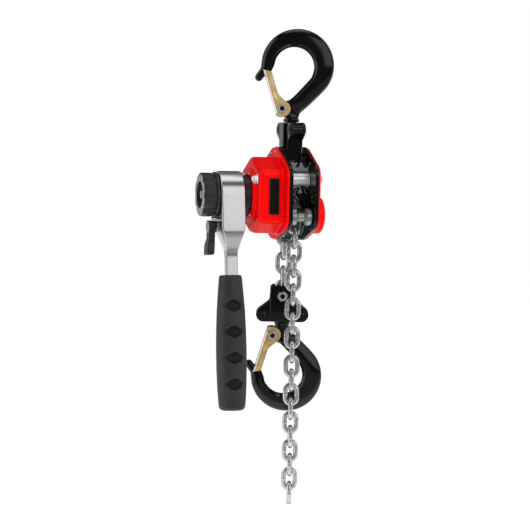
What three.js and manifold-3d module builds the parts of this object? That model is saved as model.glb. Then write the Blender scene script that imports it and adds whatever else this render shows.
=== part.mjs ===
// Lever chain hoist, quarter-tonne size, hanging from its top hook.
// Millimetres, +Z up. The origin is the seat of the top hook, where the support carries it.
// +X runs along the drive shaft from the handwheel towards the right cover, -Y is the front.
import * as THREE from 'three';
import { mergeVertices } from 'three/addons/utils/BufferGeometryUtils.js';
import Module from 'manifold-3d';

const wasm = await Module();
wasm.setup();

// ---------- driving dimensions ----------
const gap = 0.3; // clearance left between neighbouring solids

const chain = { wire: 4, pitch: 12, tailLinks: 20 };
const pockets = 4; // flat links carried by one turn of the load sheave
const sheaveStep = Math.PI / pockets; // angle taken by one link on the sheave
const runY = chain.pitch / (2 * Math.sin(sheaveStep / 2)); // hanging runs, from the sheave's middle
const wrapRadius = chain.pitch / (2 * Math.tan(sheaveStep / 2));

const driveZ = -123.5; // axis of the lever, brake and drive shaft
const gearModule = 1;
const pinionTeeth = 11;
const loadGearTeeth = 22;
const sheaveZ = driveZ - (gearModule * (pinionTeeth + loadGearTeeth)) / 2;

const plate = { inner: 9.4, thick: 2.8, halfDepth: 43, top: -83, bottom: -161, shoulder: -100, hip: -148 };
const plateOuter = plate.inner + plate.thick;
const stay = { y: 22.5, z: -109.5, radius: 3, sleeve: 5.7, nut: 4 };
const roller = { y: 31.5, radius: 7, waist: 3.4, waistHalf: 2.6, half: 8.8, journal: 2.5 };

const drum = { end: -36.5, wall: 2, halfHeight: 31.7, halfTop: 6, halfDepth: 29, cornerHeight: 21 };
const innerPlate = { from: -24, to: -22 };
const ratchet = { teeth: 12, tip: 17, root: 14.4 };
const hubRadius = 16.3;
const wheelTeeth = 12; // change-over wheel inside the lever
const wheelTip = 13.5;
const wheelRoot = 10.5;

const lever = { from: -63.4, to: -43.5, wall: 2, head: 19.7, gripTop: -67, gripEnd: -178.5, swing: -7 };
const gripY = -4.5; // axis of the grip, in front of the drive axis
const neck = { front: -11, back: -5, half: 5.1 }; // the thin part between the lever's head and grip
const selectorDrop = 26.5; // selector axis below the drive axis
const detentLean = 20; // degrees the plunger leans forward, to stay inside the neck
const handwheel = { left: -78, right: -64.2, radius: 18.4, recess: 10.9 };

const hook = { turn: -15.5, pivotDrop: 51.2, half: 5.6, bevel: 2.2, shank: 4.5, head: 6 };
const latchPivot = -7.9; // from the shank axis, on the throat side
const block = { pinDrop: 22.3, halfThick: 9.6, wall: 2.2 };
const blockZ = -232; // lower face of the load block
const yoke = { faceZ: -62.7, pinZ: -92, halfThick: 8.6, wall: 2.2 };

const degrees = Math.PI / 180;

// ---------- materials ----------
const finish = (color, metalness, roughness) =>
  new THREE.MeshStandardMaterial({ color, metalness, roughness });
const redPaint = finish(0xe8120c, 0.1, 0.25);
const blackPaint = finish(0x101113, 0.2, 0.3);
const brushedSteel = finish(0xc8cacc, 1, 0.35);
const zincSteel = finish(0xd4d6d8, 1, 0.28);
const darkSteel = finish(0x5c5f63, 1, 0.45);
const yellowZinc = finish(0xd9b45c, 1, 0.3);
const blackRubber = finish(0x1b1c1d, 0, 0.7);
const blackPlastic = finish(0x242526, 0, 0.45);
const bronze = finish(0xb08a4a, 1, 0.4);
const frictionLining = finish(0x6b5a45, 0, 0.9);
const springSteel = finish(0x9a9da1, 1, 0.35);

// ---------- solids ----------
// A closed geometry becomes a solid that can be joined and cut.
function solid(geometry, matrix = new THREE.Matrix4()) {
  const bare = geometry.clone().applyMatrix4(matrix);
  bare.deleteAttribute('normal');
  bare.deleteAttribute('uv');
  const merged = mergeVertices(bare, 1e-3);
  const corners = merged.index.array;
  const points = merged.attributes.position.array;
  const faces = [];
  let volume = 0;
  const a = new THREE.Vector3();
  const b = new THREE.Vector3();
  const c = new THREE.Vector3();
  for (let i = 0; i < corners.length; i += 3) {
    const [p, q, r] = [corners[i], corners[i + 1], corners[i + 2]];
    if (p === q || q === r || r === p) continue;
    faces.push([p, q, r]);
    a.fromArray(points, 3 * p);
    b.fromArray(points, 3 * q);
    c.fromArray(points, 3 * r);
    volume += a.dot(b.cross(c));
  }
  const facing = volume < 0 ? faces.map(([p, q, r]) => [p, r, q]) : faces;
  const triVerts = Uint32Array.from(facing.flat());
  return new wasm.Manifold(new wasm.Mesh({ numProp: 3, vertProperties: points, triVerts }));
}

function geometryOf(manifold) {
  const mesh = manifold.getMesh();
  const geometry = new THREE.BufferGeometry();
  geometry.setAttribute('position', new THREE.BufferAttribute(mesh.vertProperties, 3));
  geometry.setIndex(new THREE.BufferAttribute(mesh.triVerts, 1));
  geometry.computeVertexNormals();
  return geometry;
}

function piece(parent, name, manifold, material) {
  const mesh = new THREE.Mesh(geometryOf(manifold), material);
  mesh.name = name;
  parent.add(mesh);
  return mesh;
}

const axisX = new THREE.Vector3(1, 0, 0);
const axisY = new THREE.Vector3(0, 1, 0);
const axisZ = new THREE.Vector3(0, 0, 1);
const at = (x, y, z) => new THREE.Matrix4().makeTranslation(x, y, z);
const turnX = (angle) => new THREE.Matrix4().makeRotationX(angle);

// The outline as plain points, none repeated where its lines and arcs meet.
function tidied(shape, curveSegments) {
  const points = shape.getPoints(curveSegments);
  return new THREE.Shape(points.filter((point, i) => {
    return point.distanceTo(points[(i + points.length - 1) % points.length]) > 0.01;
  }));
}

// An outline drawn in (y, z), as a slab between two x values.
function slabX(shape, x0, x1, curveSegments = 5) {
  const outline = tidied(shape, curveSegments);
  const geometry = new THREE.ExtrudeGeometry(outline, { depth: x1 - x0, bevelEnabled: false });
  const basis = new THREE.Matrix4().makeBasis(axisY, axisZ, axisX);
  return solid(geometry, at(x0, 0, 0).multiply(basis));
}

// An outline drawn in (x, z), as a slab between two y values, its rims rounded by the bevel.
function slabY(shape, y0, y1, bevel = 0, curveSegments = 6) {
  const options = { depth: y1 - y0 - 2 * bevel, bevelEnabled: bevel > 0 };
  Object.assign(options, { bevelThickness: bevel, bevelSize: bevel, bevelOffset: -bevel, bevelSegments: 2 });
  const geometry = new THREE.ExtrudeGeometry(tidied(shape, curveSegments), options);
  const basis = new THREE.Matrix4().makeBasis(axisX, axisZ, axisY.clone().negate());
  return solid(geometry, at(0, y1 - bevel, 0).multiply(basis));
}

// A profile of (radius, x) points turned about the X axis through (y, z).
function turnedX(profile, y = 0, z = 0, segments = 24) {
  const points = profile.map(([r, x]) => new THREE.Vector2(r, x));
  const basis = new THREE.Matrix4().makeBasis(axisY, axisX, axisZ.clone().negate());
  return solid(new THREE.LatheGeometry(points, segments), at(0, y, z).multiply(basis));
}

// A profile of (radius, z) points turned about the Z axis.
function turnedZ(profile, segments = 20) {
  const points = profile.map(([r, z]) => new THREE.Vector2(r, z));
  return solid(new THREE.LatheGeometry(points, segments), turnX(90 * degrees));
}

function rodX(radius, x0, x1, y = 0, z = 0, segments = 16) {
  return turnedX([[0, x0], [radius, x0], [radius, x1], [0, x1]], y, z, segments);
}

function rodY(radius, y0, y1, x = 0, z = 0, segments = 14) {
  const geometry = new THREE.CylinderGeometry(radius, radius, y1 - y0, segments);
  return solid(geometry, at(x, (y0 + y1) / 2, z));
}

function ringX(outer, inner, x0, x1, y = 0, z = 0, segments = 24) {
  return turnedX([[inner, x0], [outer, x0], [outer, x1], [inner, x1], [inner, x0]], y, z, segments);
}

function box(x0, x1, y0, y1, z0, z1) {
  const geometry = new THREE.BoxGeometry(x1 - x0, y1 - y0, z1 - z0);
  return solid(geometry, at((x0 + x1) / 2, (y0 + y1) / 2, (z0 + z1) / 2));
}

function polygon(points) {
  return new THREE.Shape(points.map(([x, y]) => new THREE.Vector2(x, y)));
}

// A straight-sided outline whose corners are rounded.
function rounded(points, radius) {
  const shape = new THREE.Shape();
  const corners = points.map(([x, y]) => new THREE.Vector2(x, y));
  corners.forEach((corner, i) => {
    const before = corners[(i + corners.length - 1) % corners.length];
    const after = corners[(i + 1) % corners.length];
    const back = Math.min(radius, before.distanceTo(corner) / 2);
    const ahead = Math.min(radius, after.distanceTo(corner) / 2);
    const entry = corner.clone().lerp(before, back / before.distanceTo(corner));
    const exit = corner.clone().lerp(after, ahead / after.distanceTo(corner));
    if (i === 0) shape.moveTo(entry.x, entry.y);
    else shape.lineTo(entry.x, entry.y);
    shape.quadraticCurveTo(corner.x, corner.y, exit.x, exit.y);
  });
  shape.closePath();
  return shape;
}

// A wheel outline with straight-flanked teeth; a tooth gap is centred on the start angle.
function toothed(teeth, tip, root, start, tipShare = 0.28, rootShare = 0.36) {
  const points = [];
  const step = (2 * Math.PI) / teeth;
  for (let i = 0; i < teeth; i += 1) {
    const middle = start + (i + 0.5) * step;
    const half = [(1 - rootShare) / 2, tipShare / 2, -tipShare / 2, (rootShare - 1) / 2];
    const radii = [root, tip, tip, root];
    half.forEach((share, k) => {
      const angle = middle - share * step;
      points.push([radii[k] * Math.cos(angle), radii[k] * Math.sin(angle)]);
    });
  }
  return polygon(points);
}

function moved(manifold, x, y, z) {
  return manifold.translate([x, y, z]);
}

// A closed tube of round section along a curve.
function tube(curve, radius, sides, steps) {
  const corners = Array.from({ length: sides }, (_, i) => {
    const angle = (2 * Math.PI * i) / sides;
    return new THREE.Vector2(radius * Math.cos(angle), radius * Math.sin(angle));
  });
  const section = new THREE.Shape(corners);
  const options = { extrudePath: curve, steps, bevelEnabled: false };
  return solid(new THREE.ExtrudeGeometry(section, options));
}

class Helix extends THREE.Curve {
  constructor(radius, length, turns, along) {
    super();
    Object.assign(this, { radius, length, turns, along });
  }

  getPoint(t, target = new THREE.Vector3()) {
    const angle = 2 * Math.PI * this.turns * t;
    const across = this.radius * Math.cos(angle);
    const up = this.radius * Math.sin(angle);
    if (this.along === 'x') return target.set(this.length * t, across, up);
    if (this.along === 'y') return target.set(across, this.length * t, up);
    return target.set(across, up, this.length * t);
  }
}

function coil(radius, wire, length, turns, along) {
  return tube(new Helix(radius, length, turns, along), wire / 2, 5, Math.round(turns * 8));
}

// ---------- hook, latch and rivet ----------
// Drawn hanging: shank up, bowl down, throat towards -X, the latch pivot level at z = 0.
function hookOutline() {
  const bowl = { x: 1.6, z: -34.6, r: 16.6 };
  const back = { x: 4.4, z: -35.8, r: 30.4 };
  const tip = { x: -27.6, z: -25.6, r: 3.4 };
  const lug = { x: latchPivot, z: 0, r: 5 };
  const seatStart = 178.571; // puts one flat of the bowl level, at its lowest point
  const shape = new THREE.Shape();
  shape.moveTo(6, 9);
  shape.lineTo(6, 5);
  shape.quadraticCurveTo(7, 4, 12.5, -0.9);
  shape.lineTo(back.x + back.r * Math.cos(45 * degrees), back.z + back.r * Math.sin(45 * degrees));
  shape.absarc(back.x, back.z, back.r, 45 * degrees, -180 * degrees, true);
  shape.bezierCurveTo(-26, -32, -30.7, -30, tip.x - tip.r, tip.z);
  shape.absarc(tip.x, tip.z, tip.r, 180 * degrees, 20 * degrees, true);
  shape.quadraticCurveTo(-19, -28.5, bowl.x - bowl.r, bowl.z + 0.4);
  shape.absarc(bowl.x, bowl.z, bowl.r, seatStart * degrees, 398 * degrees, false);
  shape.lineTo(0.6, -8.8);
  shape.quadraticCurveTo(-1.2, -6.4, lug.x + lug.r * 0.8, lug.z - lug.r * 0.6);
  shape.absarc(lug.x, lug.z, lug.r, -37 * degrees, -270 * degrees, true);
  shape.lineTo(-6, 6);
  shape.lineTo(-6, 9);
  shape.closePath();
  return shape;
}

function makeHook(parent, name) {
  const shankTop = 11.5 + block.wall + gap;
  const shank = turnedZ([
    [0, 2], [hook.shank, 2], [hook.shank, shankTop], [hook.head, shankTop + 0.6],
    [hook.head, shankTop + 3.2], [0, shankTop + 3.2],
  ]);
  const forging = slabY(hookOutline(), -hook.half, hook.half, hook.bevel, 9);
  const slots = [-1, 1].map((side) => {
    const y = side * (hook.half - 0.9);
    return rodY(8.4, y - 1.6, y + 1.6, latchPivot, 0, 24);
  });
  const bore = rodY(2.3, -10, 10, latchPivot, 0);
  const body = slots.reduce((rest, slot) => rest.subtract(slot), forging);
  piece(parent, name, body.add(shank).subtract(bore), blackPaint);
}

// A pressed channel: two ears on the pivot straddle the tip, the web on the outer side rests on it.
function makeLatch(parent, name) {
  const end = new THREE.Vector2(-21.2, -27.6);
  const pivot = new THREE.Vector2(latchPivot, 0);
  const reach = end.distanceTo(pivot);
  const lean = Math.atan2(end.x - pivot.x, pivot.y - end.y);
  const side = new THREE.Shape();
  side.moveTo(-6.7, 4.6);
  side.lineTo(-6.7, -4);
  side.lineTo(-2.3, 1.4 - reach);
  side.lineTo(2.2, -reach);
  side.lineTo(3.4, -13);
  side.quadraticCurveTo(4.2, -7.5, 6, -2.2);
  side.absarc(0, 0, 6.4, -20 * degrees, 110 * degrees, false);
  side.lineTo(-4, 6.2);
  side.closePath();
  const half = hook.half + 1.6;
  const inside = half - 1.3;
  const channel = slabY(side, -half, half);
  const open = polygon([[-5.4, 12], [-5.4, -4.2], [-0.8, -reach - 1], [12, -reach - 1], [12, 12]]);
  const hollow = slabY(open, -inside, inside);
  const bore = rodY(2.3, -10, 10, 0, 0);
  const pressed = channel.subtract(hollow).subtract(bore);
  const latch = moved(pressed.rotate([0, (-lean * 180) / Math.PI, 0]), pivot.x, 0, pivot.y);
  return piece(parent, name, latch, yellowZinc);
}

function makeHookSet(parent, prefix, z, upward) {
  const group = new THREE.Group();
  group.position.set(0, upward ? 0 : runY, z);
  group.rotation.set(upward ? Math.PI : 0, 0, hook.turn * degrees, 'ZYX');
  parent.add(group);
  makeHook(group, `${prefix}_hook`);
  makeLatch(group, `${prefix}_latch`);
  const half = hook.half + 2;
  const rivet = rodY(2, -half, half, latchPivot, 0);
  const heads = [-half - 1, half].map((y) => rodY(3.6, y, y + 1, latchPivot, 0));
  piece(group, `${prefix}_latch_rivet`, rivet.add(heads[0]).add(heads[1]), zincSteel);
}

// ---------- yoke halves that hold a hook's shank head ----------
// Drawn hanging, the hook's side face at z = 0, faces in planes of constant y.
function yokeOutline(bodyHalf, top, round) {
  const shape = new THREE.Shape();
  const lobe = { x: 16.2, z: 6.2, r: 6.2 };
  shape.moveTo(-lobe.x, 0);
  shape.lineTo(lobe.x, 0);
  shape.absarc(lobe.x, lobe.z, lobe.r, -90 * degrees, 45 * degrees, false);
  shape.lineTo(bodyHalf, 20);
  if (round) {
    shape.lineTo(bodyHalf, top - bodyHalf);
    shape.absarc(0, top - bodyHalf, bodyHalf, 0, 180 * degrees, false);
  } else {
    shape.lineTo(bodyHalf, top);
    shape.lineTo(-bodyHalf, top);
  }
  shape.lineTo(-bodyHalf, 20);
  shape.absarc(-lobe.x, lobe.z, lobe.r, 135 * degrees, 270 * degrees, false);
  return shape;
}

function yokeHalf(outline, side, size, pinZ) {
  const outer = size.halfThick;
  const inner = outer - size.wall;
  const range = (a, b) => (side > 0 ? [a, b] : [-b, -a]);
  const face = slabY(outline, ...range(inner, outer));
  const floor = box(-10.5, 10.5, ...range(gap / 2, inner + 0.1), 0, block.wall);
  const bosses = [-16.2, 16.2].map((x) => rodY(4.6, ...range(gap / 2, inner + 0.1), x, 6.2, 12));
  const rivetBores = [-16.2, 16.2].map((x) => rodY(2.3, -20, 20, x, 6.2));
  const shankBore = turnedZ([[0, -1], [hook.shank + gap, -1], [hook.shank + gap, 5], [0, 5]]);
  const pinBore = rodY(size.pin + gap, -20, 20, 0, pinZ);
  const joined = face.add(floor).add(bosses[0]).add(bosses[1]);
  return joined.subtract(rivetBores[0]).subtract(rivetBores[1]).subtract(shankBore).subtract(pinBore);
}

function yokeRivet(x, halfThick) {
  const head = (side) => {
    const y = side * (halfThick + gap + 0.8);
    return rodY(3.8, y - 0.8, y + 0.8, x, 6.2);
  };
  return rodY(2, -halfThick - gap, halfThick + gap, x, 6.2).add(head(-1)).add(head(1));
}

function makeTopYoke(parent) {
  const group = new THREE.Group();
  group.position.set(0, 0, yoke.faceZ);
  group.rotation.set(Math.PI, 0, 90 * degrees, 'ZYX');
  parent.add(group);
  const pinZ = yoke.faceZ - yoke.pinZ;
  const outline = yokeOutline(8.5, pinZ + 8.5, true);
  const size = { halfThick: yoke.halfThick, wall: yoke.wall, pin: 4 };
  piece(group, 'top_yoke_left', yokeHalf(outline, 1, size, pinZ), blackPaint);
  piece(group, 'top_yoke_right', yokeHalf(outline, -1, size, pinZ), blackPaint);
  piece(group, 'top_yoke_rivet_front', yokeRivet(-16.2, yoke.halfThick), blackPaint);
  piece(group, 'top_yoke_rivet_back', yokeRivet(16.2, yoke.halfThick), blackPaint);
}

function makeLoadBlock(parent) {
  const group = new THREE.Group();
  group.position.set(0, runY, blockZ);
  group.rotation.z = hook.turn * degrees;
  parent.add(group);
  const outline = yokeOutline(10.9, 31, false);
  const size = { halfThick: block.halfThick, wall: block.wall, pin: 2.2 };
  piece(group, 'load_block_front', yokeHalf(outline, -1, size, block.pinDrop), blackPaint);
  piece(group, 'load_block_back', yokeHalf(outline, 1, size, block.pinDrop), blackPaint);
  piece(group, 'load_block_rivet_left', yokeRivet(-16.2, block.halfThick), blackPaint);
  piece(group, 'load_block_rivet_right', yokeRivet(16.2, block.halfThick), blackPaint);
  const half = block.halfThick + 1.2;
  piece(group, 'chain_pin', rodY(2.2, -half, half, 0, block.pinDrop), zincSteel);
}

// ---------- frame ----------
function plateOutline(inset = 0) {
  const side = plate.halfDepth - inset;
  const top = plate.top - inset;
  const bottom = plate.bottom + inset;
  return rounded([
    [-7, bottom], [7, bottom], [side, plate.hip + inset / 2], [side, plate.shoulder - inset / 2],
    [7, top], [-7, top], [-side, plate.shoulder - inset / 2], [-side, plate.hip + inset / 2],
  ], 7);
}

const stays = [[-1, 'front'], [1, 'back']];

function stayBores(manifold, x0, x1) {
  return stays.reduce((rest, [side]) => {
    return rest.subtract(rodX(stay.radius + gap, x0, x1, side * stay.y, stay.z));
  }, manifold);
}

function makePlates(parent) {
  [[-1, 'left'], [1, 'right']].forEach(([side, word]) => {
    const [x0, x1] = side < 0 ? [-plateOuter, -plate.inner] : [plate.inner, plateOuter];
    let sheet = stayBores(slabX(plateOutline(), x0, x1), x0 - 1, x1 + 1);
    sheet = sheet.subtract(rodX(7.5, x0 - 1, x1 + 1, 0, sheaveZ));
    sheet = sheet.subtract(rodX(4 + gap, x0 - 1, x1 + 1, 0, yoke.pinZ));
    stays.forEach(([end]) => {
      sheet = sheet.subtract(rodX(roller.journal + gap, x0 - 1, x1 + 1, end * roller.y, sheaveZ));
    });
    if (side < 0) sheet = sheet.subtract(rodX(6.3, x0 - 1, x1 + 1, 0, driveZ));
    piece(parent, `${word}_plate`, sheet, blackPaint);
    piece(parent, `sheave_bush_${word}`, ringX(7.2, 4.8, x0, x1, 0, sheaveZ), bronze);
  });
  piece(parent, 'drive_bush', ringX(6, 4.3, -plateOuter, -plate.inner, 0, driveZ), bronze);
}

function drumOutline(inset = 0) {
  const side = drum.halfDepth - inset;
  const height = drum.halfHeight - inset;
  const corner = drum.cornerHeight - inset / 2;
  const points = [[-drum.halfTop, height], [-side, corner], [-side, -corner], [-drum.halfTop, -height]];
  const mirrored = points.map(([y, z]) => [-y, z]).reverse();
  return rounded([...points, ...mirrored].map(([y, z]) => [y, z + driveZ]), 4);
}

function makeCovers(parent) {
  const flangeOut = -plateOuter - gap;
  const flange = slabX(plateOutline(0.8), flangeOut - 1.8, flangeOut);
  const shell = slabX(drumOutline(), drum.end, flangeOut - 1);
  const inside = slabX(drumOutline(drum.wall), drum.end + drum.wall, flangeOut + 1);
  const mouth = rodX(hubRadius + 0.5, drum.end - 1, drum.end + 3, 0, driveZ, 32);
  const cover = stayBores(flange.add(shell).subtract(inside).subtract(mouth), drum.end - 1, -10);
  const pinHole = rodX(4 + gap, -16, -12, 0, yoke.pinZ);
  const rollerHoles = stays.map(([end]) => rodX(3, -16, -12, end * roller.y, sheaveZ));
  const drilled = rollerHoles.reduce((rest, hole) => rest.subtract(hole), cover.subtract(pinHole));
  piece(parent, 'brake_cover', drilled, redPaint);

  const label = box(-29.5, -20.3, -drum.halfDepth - 0.65, -drum.halfDepth - gap, driveZ - 15, driveZ + 15);
  piece(parent, 'name_label', label, blackPlastic);

  const coverIn = plateOuter + gap;
  const coverOut = coverIn + 1.4;
  const dome = [[0, coverIn], [15.7, coverIn], [15.7, 23.5], [14.8, 26], [12.5, 27.6], [0, 27.9]];
  const hollow = [[0, coverIn - 1], [14, coverIn - 1], [14, 23], [12, 25.6], [0, 25.9]];
  let right = slabX(plateOutline(0.8), coverIn, coverOut).add(turnedX(dome, 0, sheaveZ, 36));
  right = right.subtract(turnedX(hollow, 0, sheaveZ, 36));
  right = stayBores(right, coverIn - 1, coverOut + 1);
  right = right.subtract(rodX(4 + gap, coverIn - 1, coverOut + 1, 0, yoke.pinZ));
  stays.forEach(([end]) => {
    right = right.subtract(rodX(3, coverIn - 1, coverOut + 1, end * roller.y, sheaveZ));
  });
  piece(parent, 'right_cover', right, redPaint);
}

// Each stay is a bolt with a domed nut at both ends and a sleeve that spaces the side plates.
function makeStays(parent) {
  const leftNut = drum.end - gap;
  const rightNut = plateOuter + gap + 1.4 + gap;
  stays.forEach(([side, word]) => {
    const y = side * stay.y;
    const dome = (x, out) => [
      [0, x], [stay.nut, x], [stay.nut, x + out * 2.6], [2.6, x + out * 4.2], [0, x + out * 4.6],
    ];
    const rod = rodX(stay.radius, leftNut - 1, rightNut + 1, y, stay.z);
    const ends = turnedX(dome(leftNut, -1), y, stay.z, 12).add(turnedX(dome(rightNut, 1), y, stay.z, 12));
    piece(parent, `stay_bolt_${word}`, rod.add(ends), zincSteel);
    const half = plate.inner - gap / 2;
    const sleeve = ringX(stay.sleeve, stay.radius + gap, -half, half, y, stay.z);
    piece(parent, `stay_sleeve_${word}`, sleeve, darkSteel);
  });
}

function makeChainGuides(parent) {
  stays.forEach(([side, word]) => {
    const { radius, waist, waistHalf, half, journal } = roller;
    const profile = [
      [0, -plateOuter], [journal, -plateOuter], [journal, -half], [radius, -half], [radius, -waistHalf - 1.4],
      [waist, -waistHalf], [waist, waistHalf], [radius, waistHalf + 1.4], [radius, half], [journal, half],
      [journal, plateOuter], [0, plateOuter],
    ];
    piece(parent, `guide_roller_${word}`, turnedX(profile, side * roller.y, sheaveZ, 16), darkSteel);
  });

  const arc = new THREE.Shape();
  const [from, to] = [16 * degrees, 164 * degrees];
  arc.absarc(0, sheaveZ, 25, from, to, false);
  arc.absarc(0, sheaveZ, 23.5, to, from, true);
  piece(parent, 'chain_guide', slabX(arc, -8.9, 8.9, 20), blackPaint);

  const finger = new THREE.Shape();
  finger.moveTo(-7, -160.6);
  finger.lineTo(7, -160.6);
  finger.lineTo(6.4, sheaveZ - 8.2);
  finger.absarc(0, sheaveZ, 9.5, -52 * degrees, -128 * degrees, true);
  finger.lineTo(-6.4, sheaveZ - 8.2);
  const bar = box(-9.1, 9.1, -6, 6, -160.8, -159);
  piece(parent, 'chain_stripper', slabX(finger, -2, 2).add(bar), darkSteel);

  const pin = rodX(4, -plateOuter - 2, plateOuter + 2, 0, yoke.pinZ);
  piece(parent, 'suspension_pin', pin, zincSteel);
}

// ---------- load sheave and gear ----------
function makeSheave(parent) {
  const half = 8.8;
  let wheel = turnedX([[0, -half], [18.4, -half], [18.4, half], [0, half]], 0, sheaveZ, 40);
  wheel = wheel.subtract(ringX(22, 7.2, -2.6, 2.6, 0, sheaveZ, 40));
  for (let i = 0; i < pockets; i += 1) {
    const angle = (0.5 + 2 * i) * sheaveStep;
    const pocket = box(-7.2, 7.2, -10.4, 10.4, wrapRadius - 2.4, 26);
    const placed = moved(pocket.rotate([(angle * 180) / Math.PI, 0, 0]), 0, 0, sheaveZ);
    wheel = wheel.subtract(placed);
  }
  const shaft = rodX(4.5, -21, 24, 0, sheaveZ, 24);
  piece(parent, 'load_sheave', wheel.add(shaft), darkSteel);

  const start = -90 * degrees + Math.PI / loadGearTeeth;
  const tip = (gearModule * (loadGearTeeth + 1.7)) / 2;
  const root = (gearModule * (loadGearTeeth - 2.6)) / 2;
  const gear = moved(slabX(toothed(loadGearTeeth, tip, root, start), -20.5, -14.6), 0, 0, sheaveZ);
  piece(parent, 'load_gear', gear.subtract(rodX(4.8, -22, -13, 0, sheaveZ)), darkSteel);
}

// ---------- drive shaft, brake and handwheel ----------
function makeDrive(parent) {
  const tip = (gearModule * (pinionTeeth + 1.7)) / 2;
  const root = (gearModule * (pinionTeeth - 2.6)) / 2;
  const pinion = slabX(toothed(pinionTeeth, tip, root, -90 * degrees, 0.26, 0.3), -20.8, -14.4);
  const profile = [
    [0, -9.6], [4, -9.6], [4, -14], [3.8, -14.4], [3.8, -20.8], [5, -21.2], [5, -62], [3.4, -62.4],
    [3.4, -76.5], [0, -76.5],
  ];
  piece(parent, 'drive_shaft', moved(turnedX(profile, 0, 0, 24).add(pinion), 0, 0, driveZ), darkSteel);

  const hubProfile = [
    [5.3, -24.3], [7, -24.3], [7, -25], [15, -25], [15, -26.8], [7, -26.8], [7, -32.9], [5.3, -32.9],
  ];
  const closed = (profilePoints) => [...profilePoints, profilePoints[0]];
  piece(parent, 'friction_hub', turnedX(closed(hubProfile), 0, driveZ), darkSteel);

  const brakeHub = [
    [5.3, -33.3], [15, -33.3], [hubRadius, -34], [hubRadius, -42], [15.6, -43], [9, -43], [9, -47.2],
    [5.3, -47.2],
  ];
  const turned = turnedX(closed(brakeHub), 0, 0, 28);
  const wheel = slabX(toothed(wheelTeeth, wheelTip, wheelRoot, -90 * degrees, 0.3, 0.5), -58, -47);
  const bored = wheel.subtract(rodX(5.3, -60, -40));
  piece(parent, 'brake_hub', moved(turned.add(bored), 0, 0, driveZ), blackPlastic);

  const flutes = 8;
  const outline = new THREE.Shape();
  for (let i = 0; i < flutes * 6; i += 1) {
    const angle = (i * 2 * Math.PI) / (flutes * 6);
    const radius = handwheel.radius - 1.3 * Math.max(0, Math.cos(flutes * angle)) ** 2;
    const method = i === 0 ? 'moveTo' : 'lineTo';
    outline[method](radius * Math.cos(angle), radius * Math.sin(angle));
  }
  let knob = slabX(outline, handwheel.left, -66);
  knob = knob.add(rodX(handwheel.radius + 0.5, -66.2, handwheel.right, 0, 0, 32));
  knob = knob.add(rodX(8.8, -66, -58.6, 0, 0));
  knob = knob.subtract(rodX(handwheel.recess, handwheel.left - 1, -70.5, 0, 0, 32));
  knob = knob.subtract(rodX(5.3, -62.4, -50, 0, 0)).subtract(rodX(3.7, -80, -60, 0, 0));
  piece(parent, 'handwheel', moved(knob, 0, 0, driveZ), blackPlastic);

  const nut = slabX(toothed(6, 5.6, 4.9, 0, 0.02, 0.02), -74.8, -70.8).subtract(rodX(3.7, -80, -60, 0, 0));
  piece(parent, 'handwheel_nut', moved(nut, 0, 0, driveZ), zincSteel);
}

function makeBrakeDiscs(parent) {
  piece(parent, 'friction_disc_inner', ringX(14.6, 7.3, -28.4, -27.1, 0, driveZ), frictionLining);
  piece(parent, 'friction_disc_outer', ringX(14.2, 7.3, -33, -31.9, 0, driveZ), frictionLining);
  const step = (2 * Math.PI) / ratchet.teeth;
  const points = [];
  for (let i = 0; i < ratchet.teeth; i += 1) {
    const face = pawlAngle - 1.6 * degrees + i * step;
    points.push([ratchet.root * Math.cos(face), ratchet.root * Math.sin(face)]);
    const crest = face + step - 0.5 * degrees;
    points.push([ratchet.tip * Math.cos(crest), ratchet.tip * Math.sin(crest)]);
  }
  const disc = slabX(polygon(points), -31.6, -28.7).subtract(rodX(7.3, -32, -28, 0, 0));
  piece(parent, 'ratchet_disc', moved(disc, 0, 0, driveZ), darkSteel);
}

// The upper pawl is drawn about the drive axis; the lower one is the same, turned half a turn.
const pawlAngle = 76 * degrees;
const pawlPin = { y: -9, z: 23.2 };

function makePawls(parent) {
  const tip = [(ratchet.root + 0.5) * Math.cos(pawlAngle), (ratchet.root + 0.5) * Math.sin(pawlAngle)];
  const shape = new THREE.Shape();
  shape.moveTo(tip[0], tip[1]);
  shape.lineTo(tip[0] + 0.55, tip[1] + 2.2);
  shape.absarc(pawlPin.y, pawlPin.z, 3.8, 70 * degrees, 250 * degrees, false);
  shape.lineTo(pawlPin.y + 2, pawlPin.z - 3.3);
  const pawl = slabX(shape, -31.5, -28.8).subtract(rodX(2.3, -33, -28, pawlPin.y, pawlPin.z));
  const pin = rodX(2, -33.4, innerPlate.to, pawlPin.y, pawlPin.z, 16);
  const spring = moved(coil(3, 0.8, 2.8, 3, 'x'), -27.9, pawlPin.y, pawlPin.z);
  [[0, 'upper'], [180, 'lower']].forEach(([angle, word]) => {
    const place = (manifold) => moved(manifold.rotate([angle, 0, 0]), 0, 0, driveZ);
    piece(parent, `brake_pawl_${word}`, place(pawl), darkSteel);
    piece(parent, `pawl_pin_${word}`, place(pin), zincSteel);
    piece(parent, `pawl_spring_${word}`, place(spring), springSteel);
  });
}

function makeInnerPlate(parent) {
  let sheet = slabX(drumOutline(drum.wall + gap), innerPlate.from, innerPlate.to);
  sheet = stayBores(sheet, innerPlate.from - 1, innerPlate.to + 1);
  sheet = sheet.subtract(rodX(5.4, innerPlate.from - 1, innerPlate.to + 1, 0, driveZ));
  [1, -1].forEach((sign) => {
    const [y, z] = [sign * pawlPin.y, driveZ + sign * pawlPin.z];
    sheet = sheet.subtract(rodX(2.3, innerPlate.from - 1, innerPlate.to + 1, y, z));
  });
  piece(parent, 'inner_plate', sheet, darkSteel);
}

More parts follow.
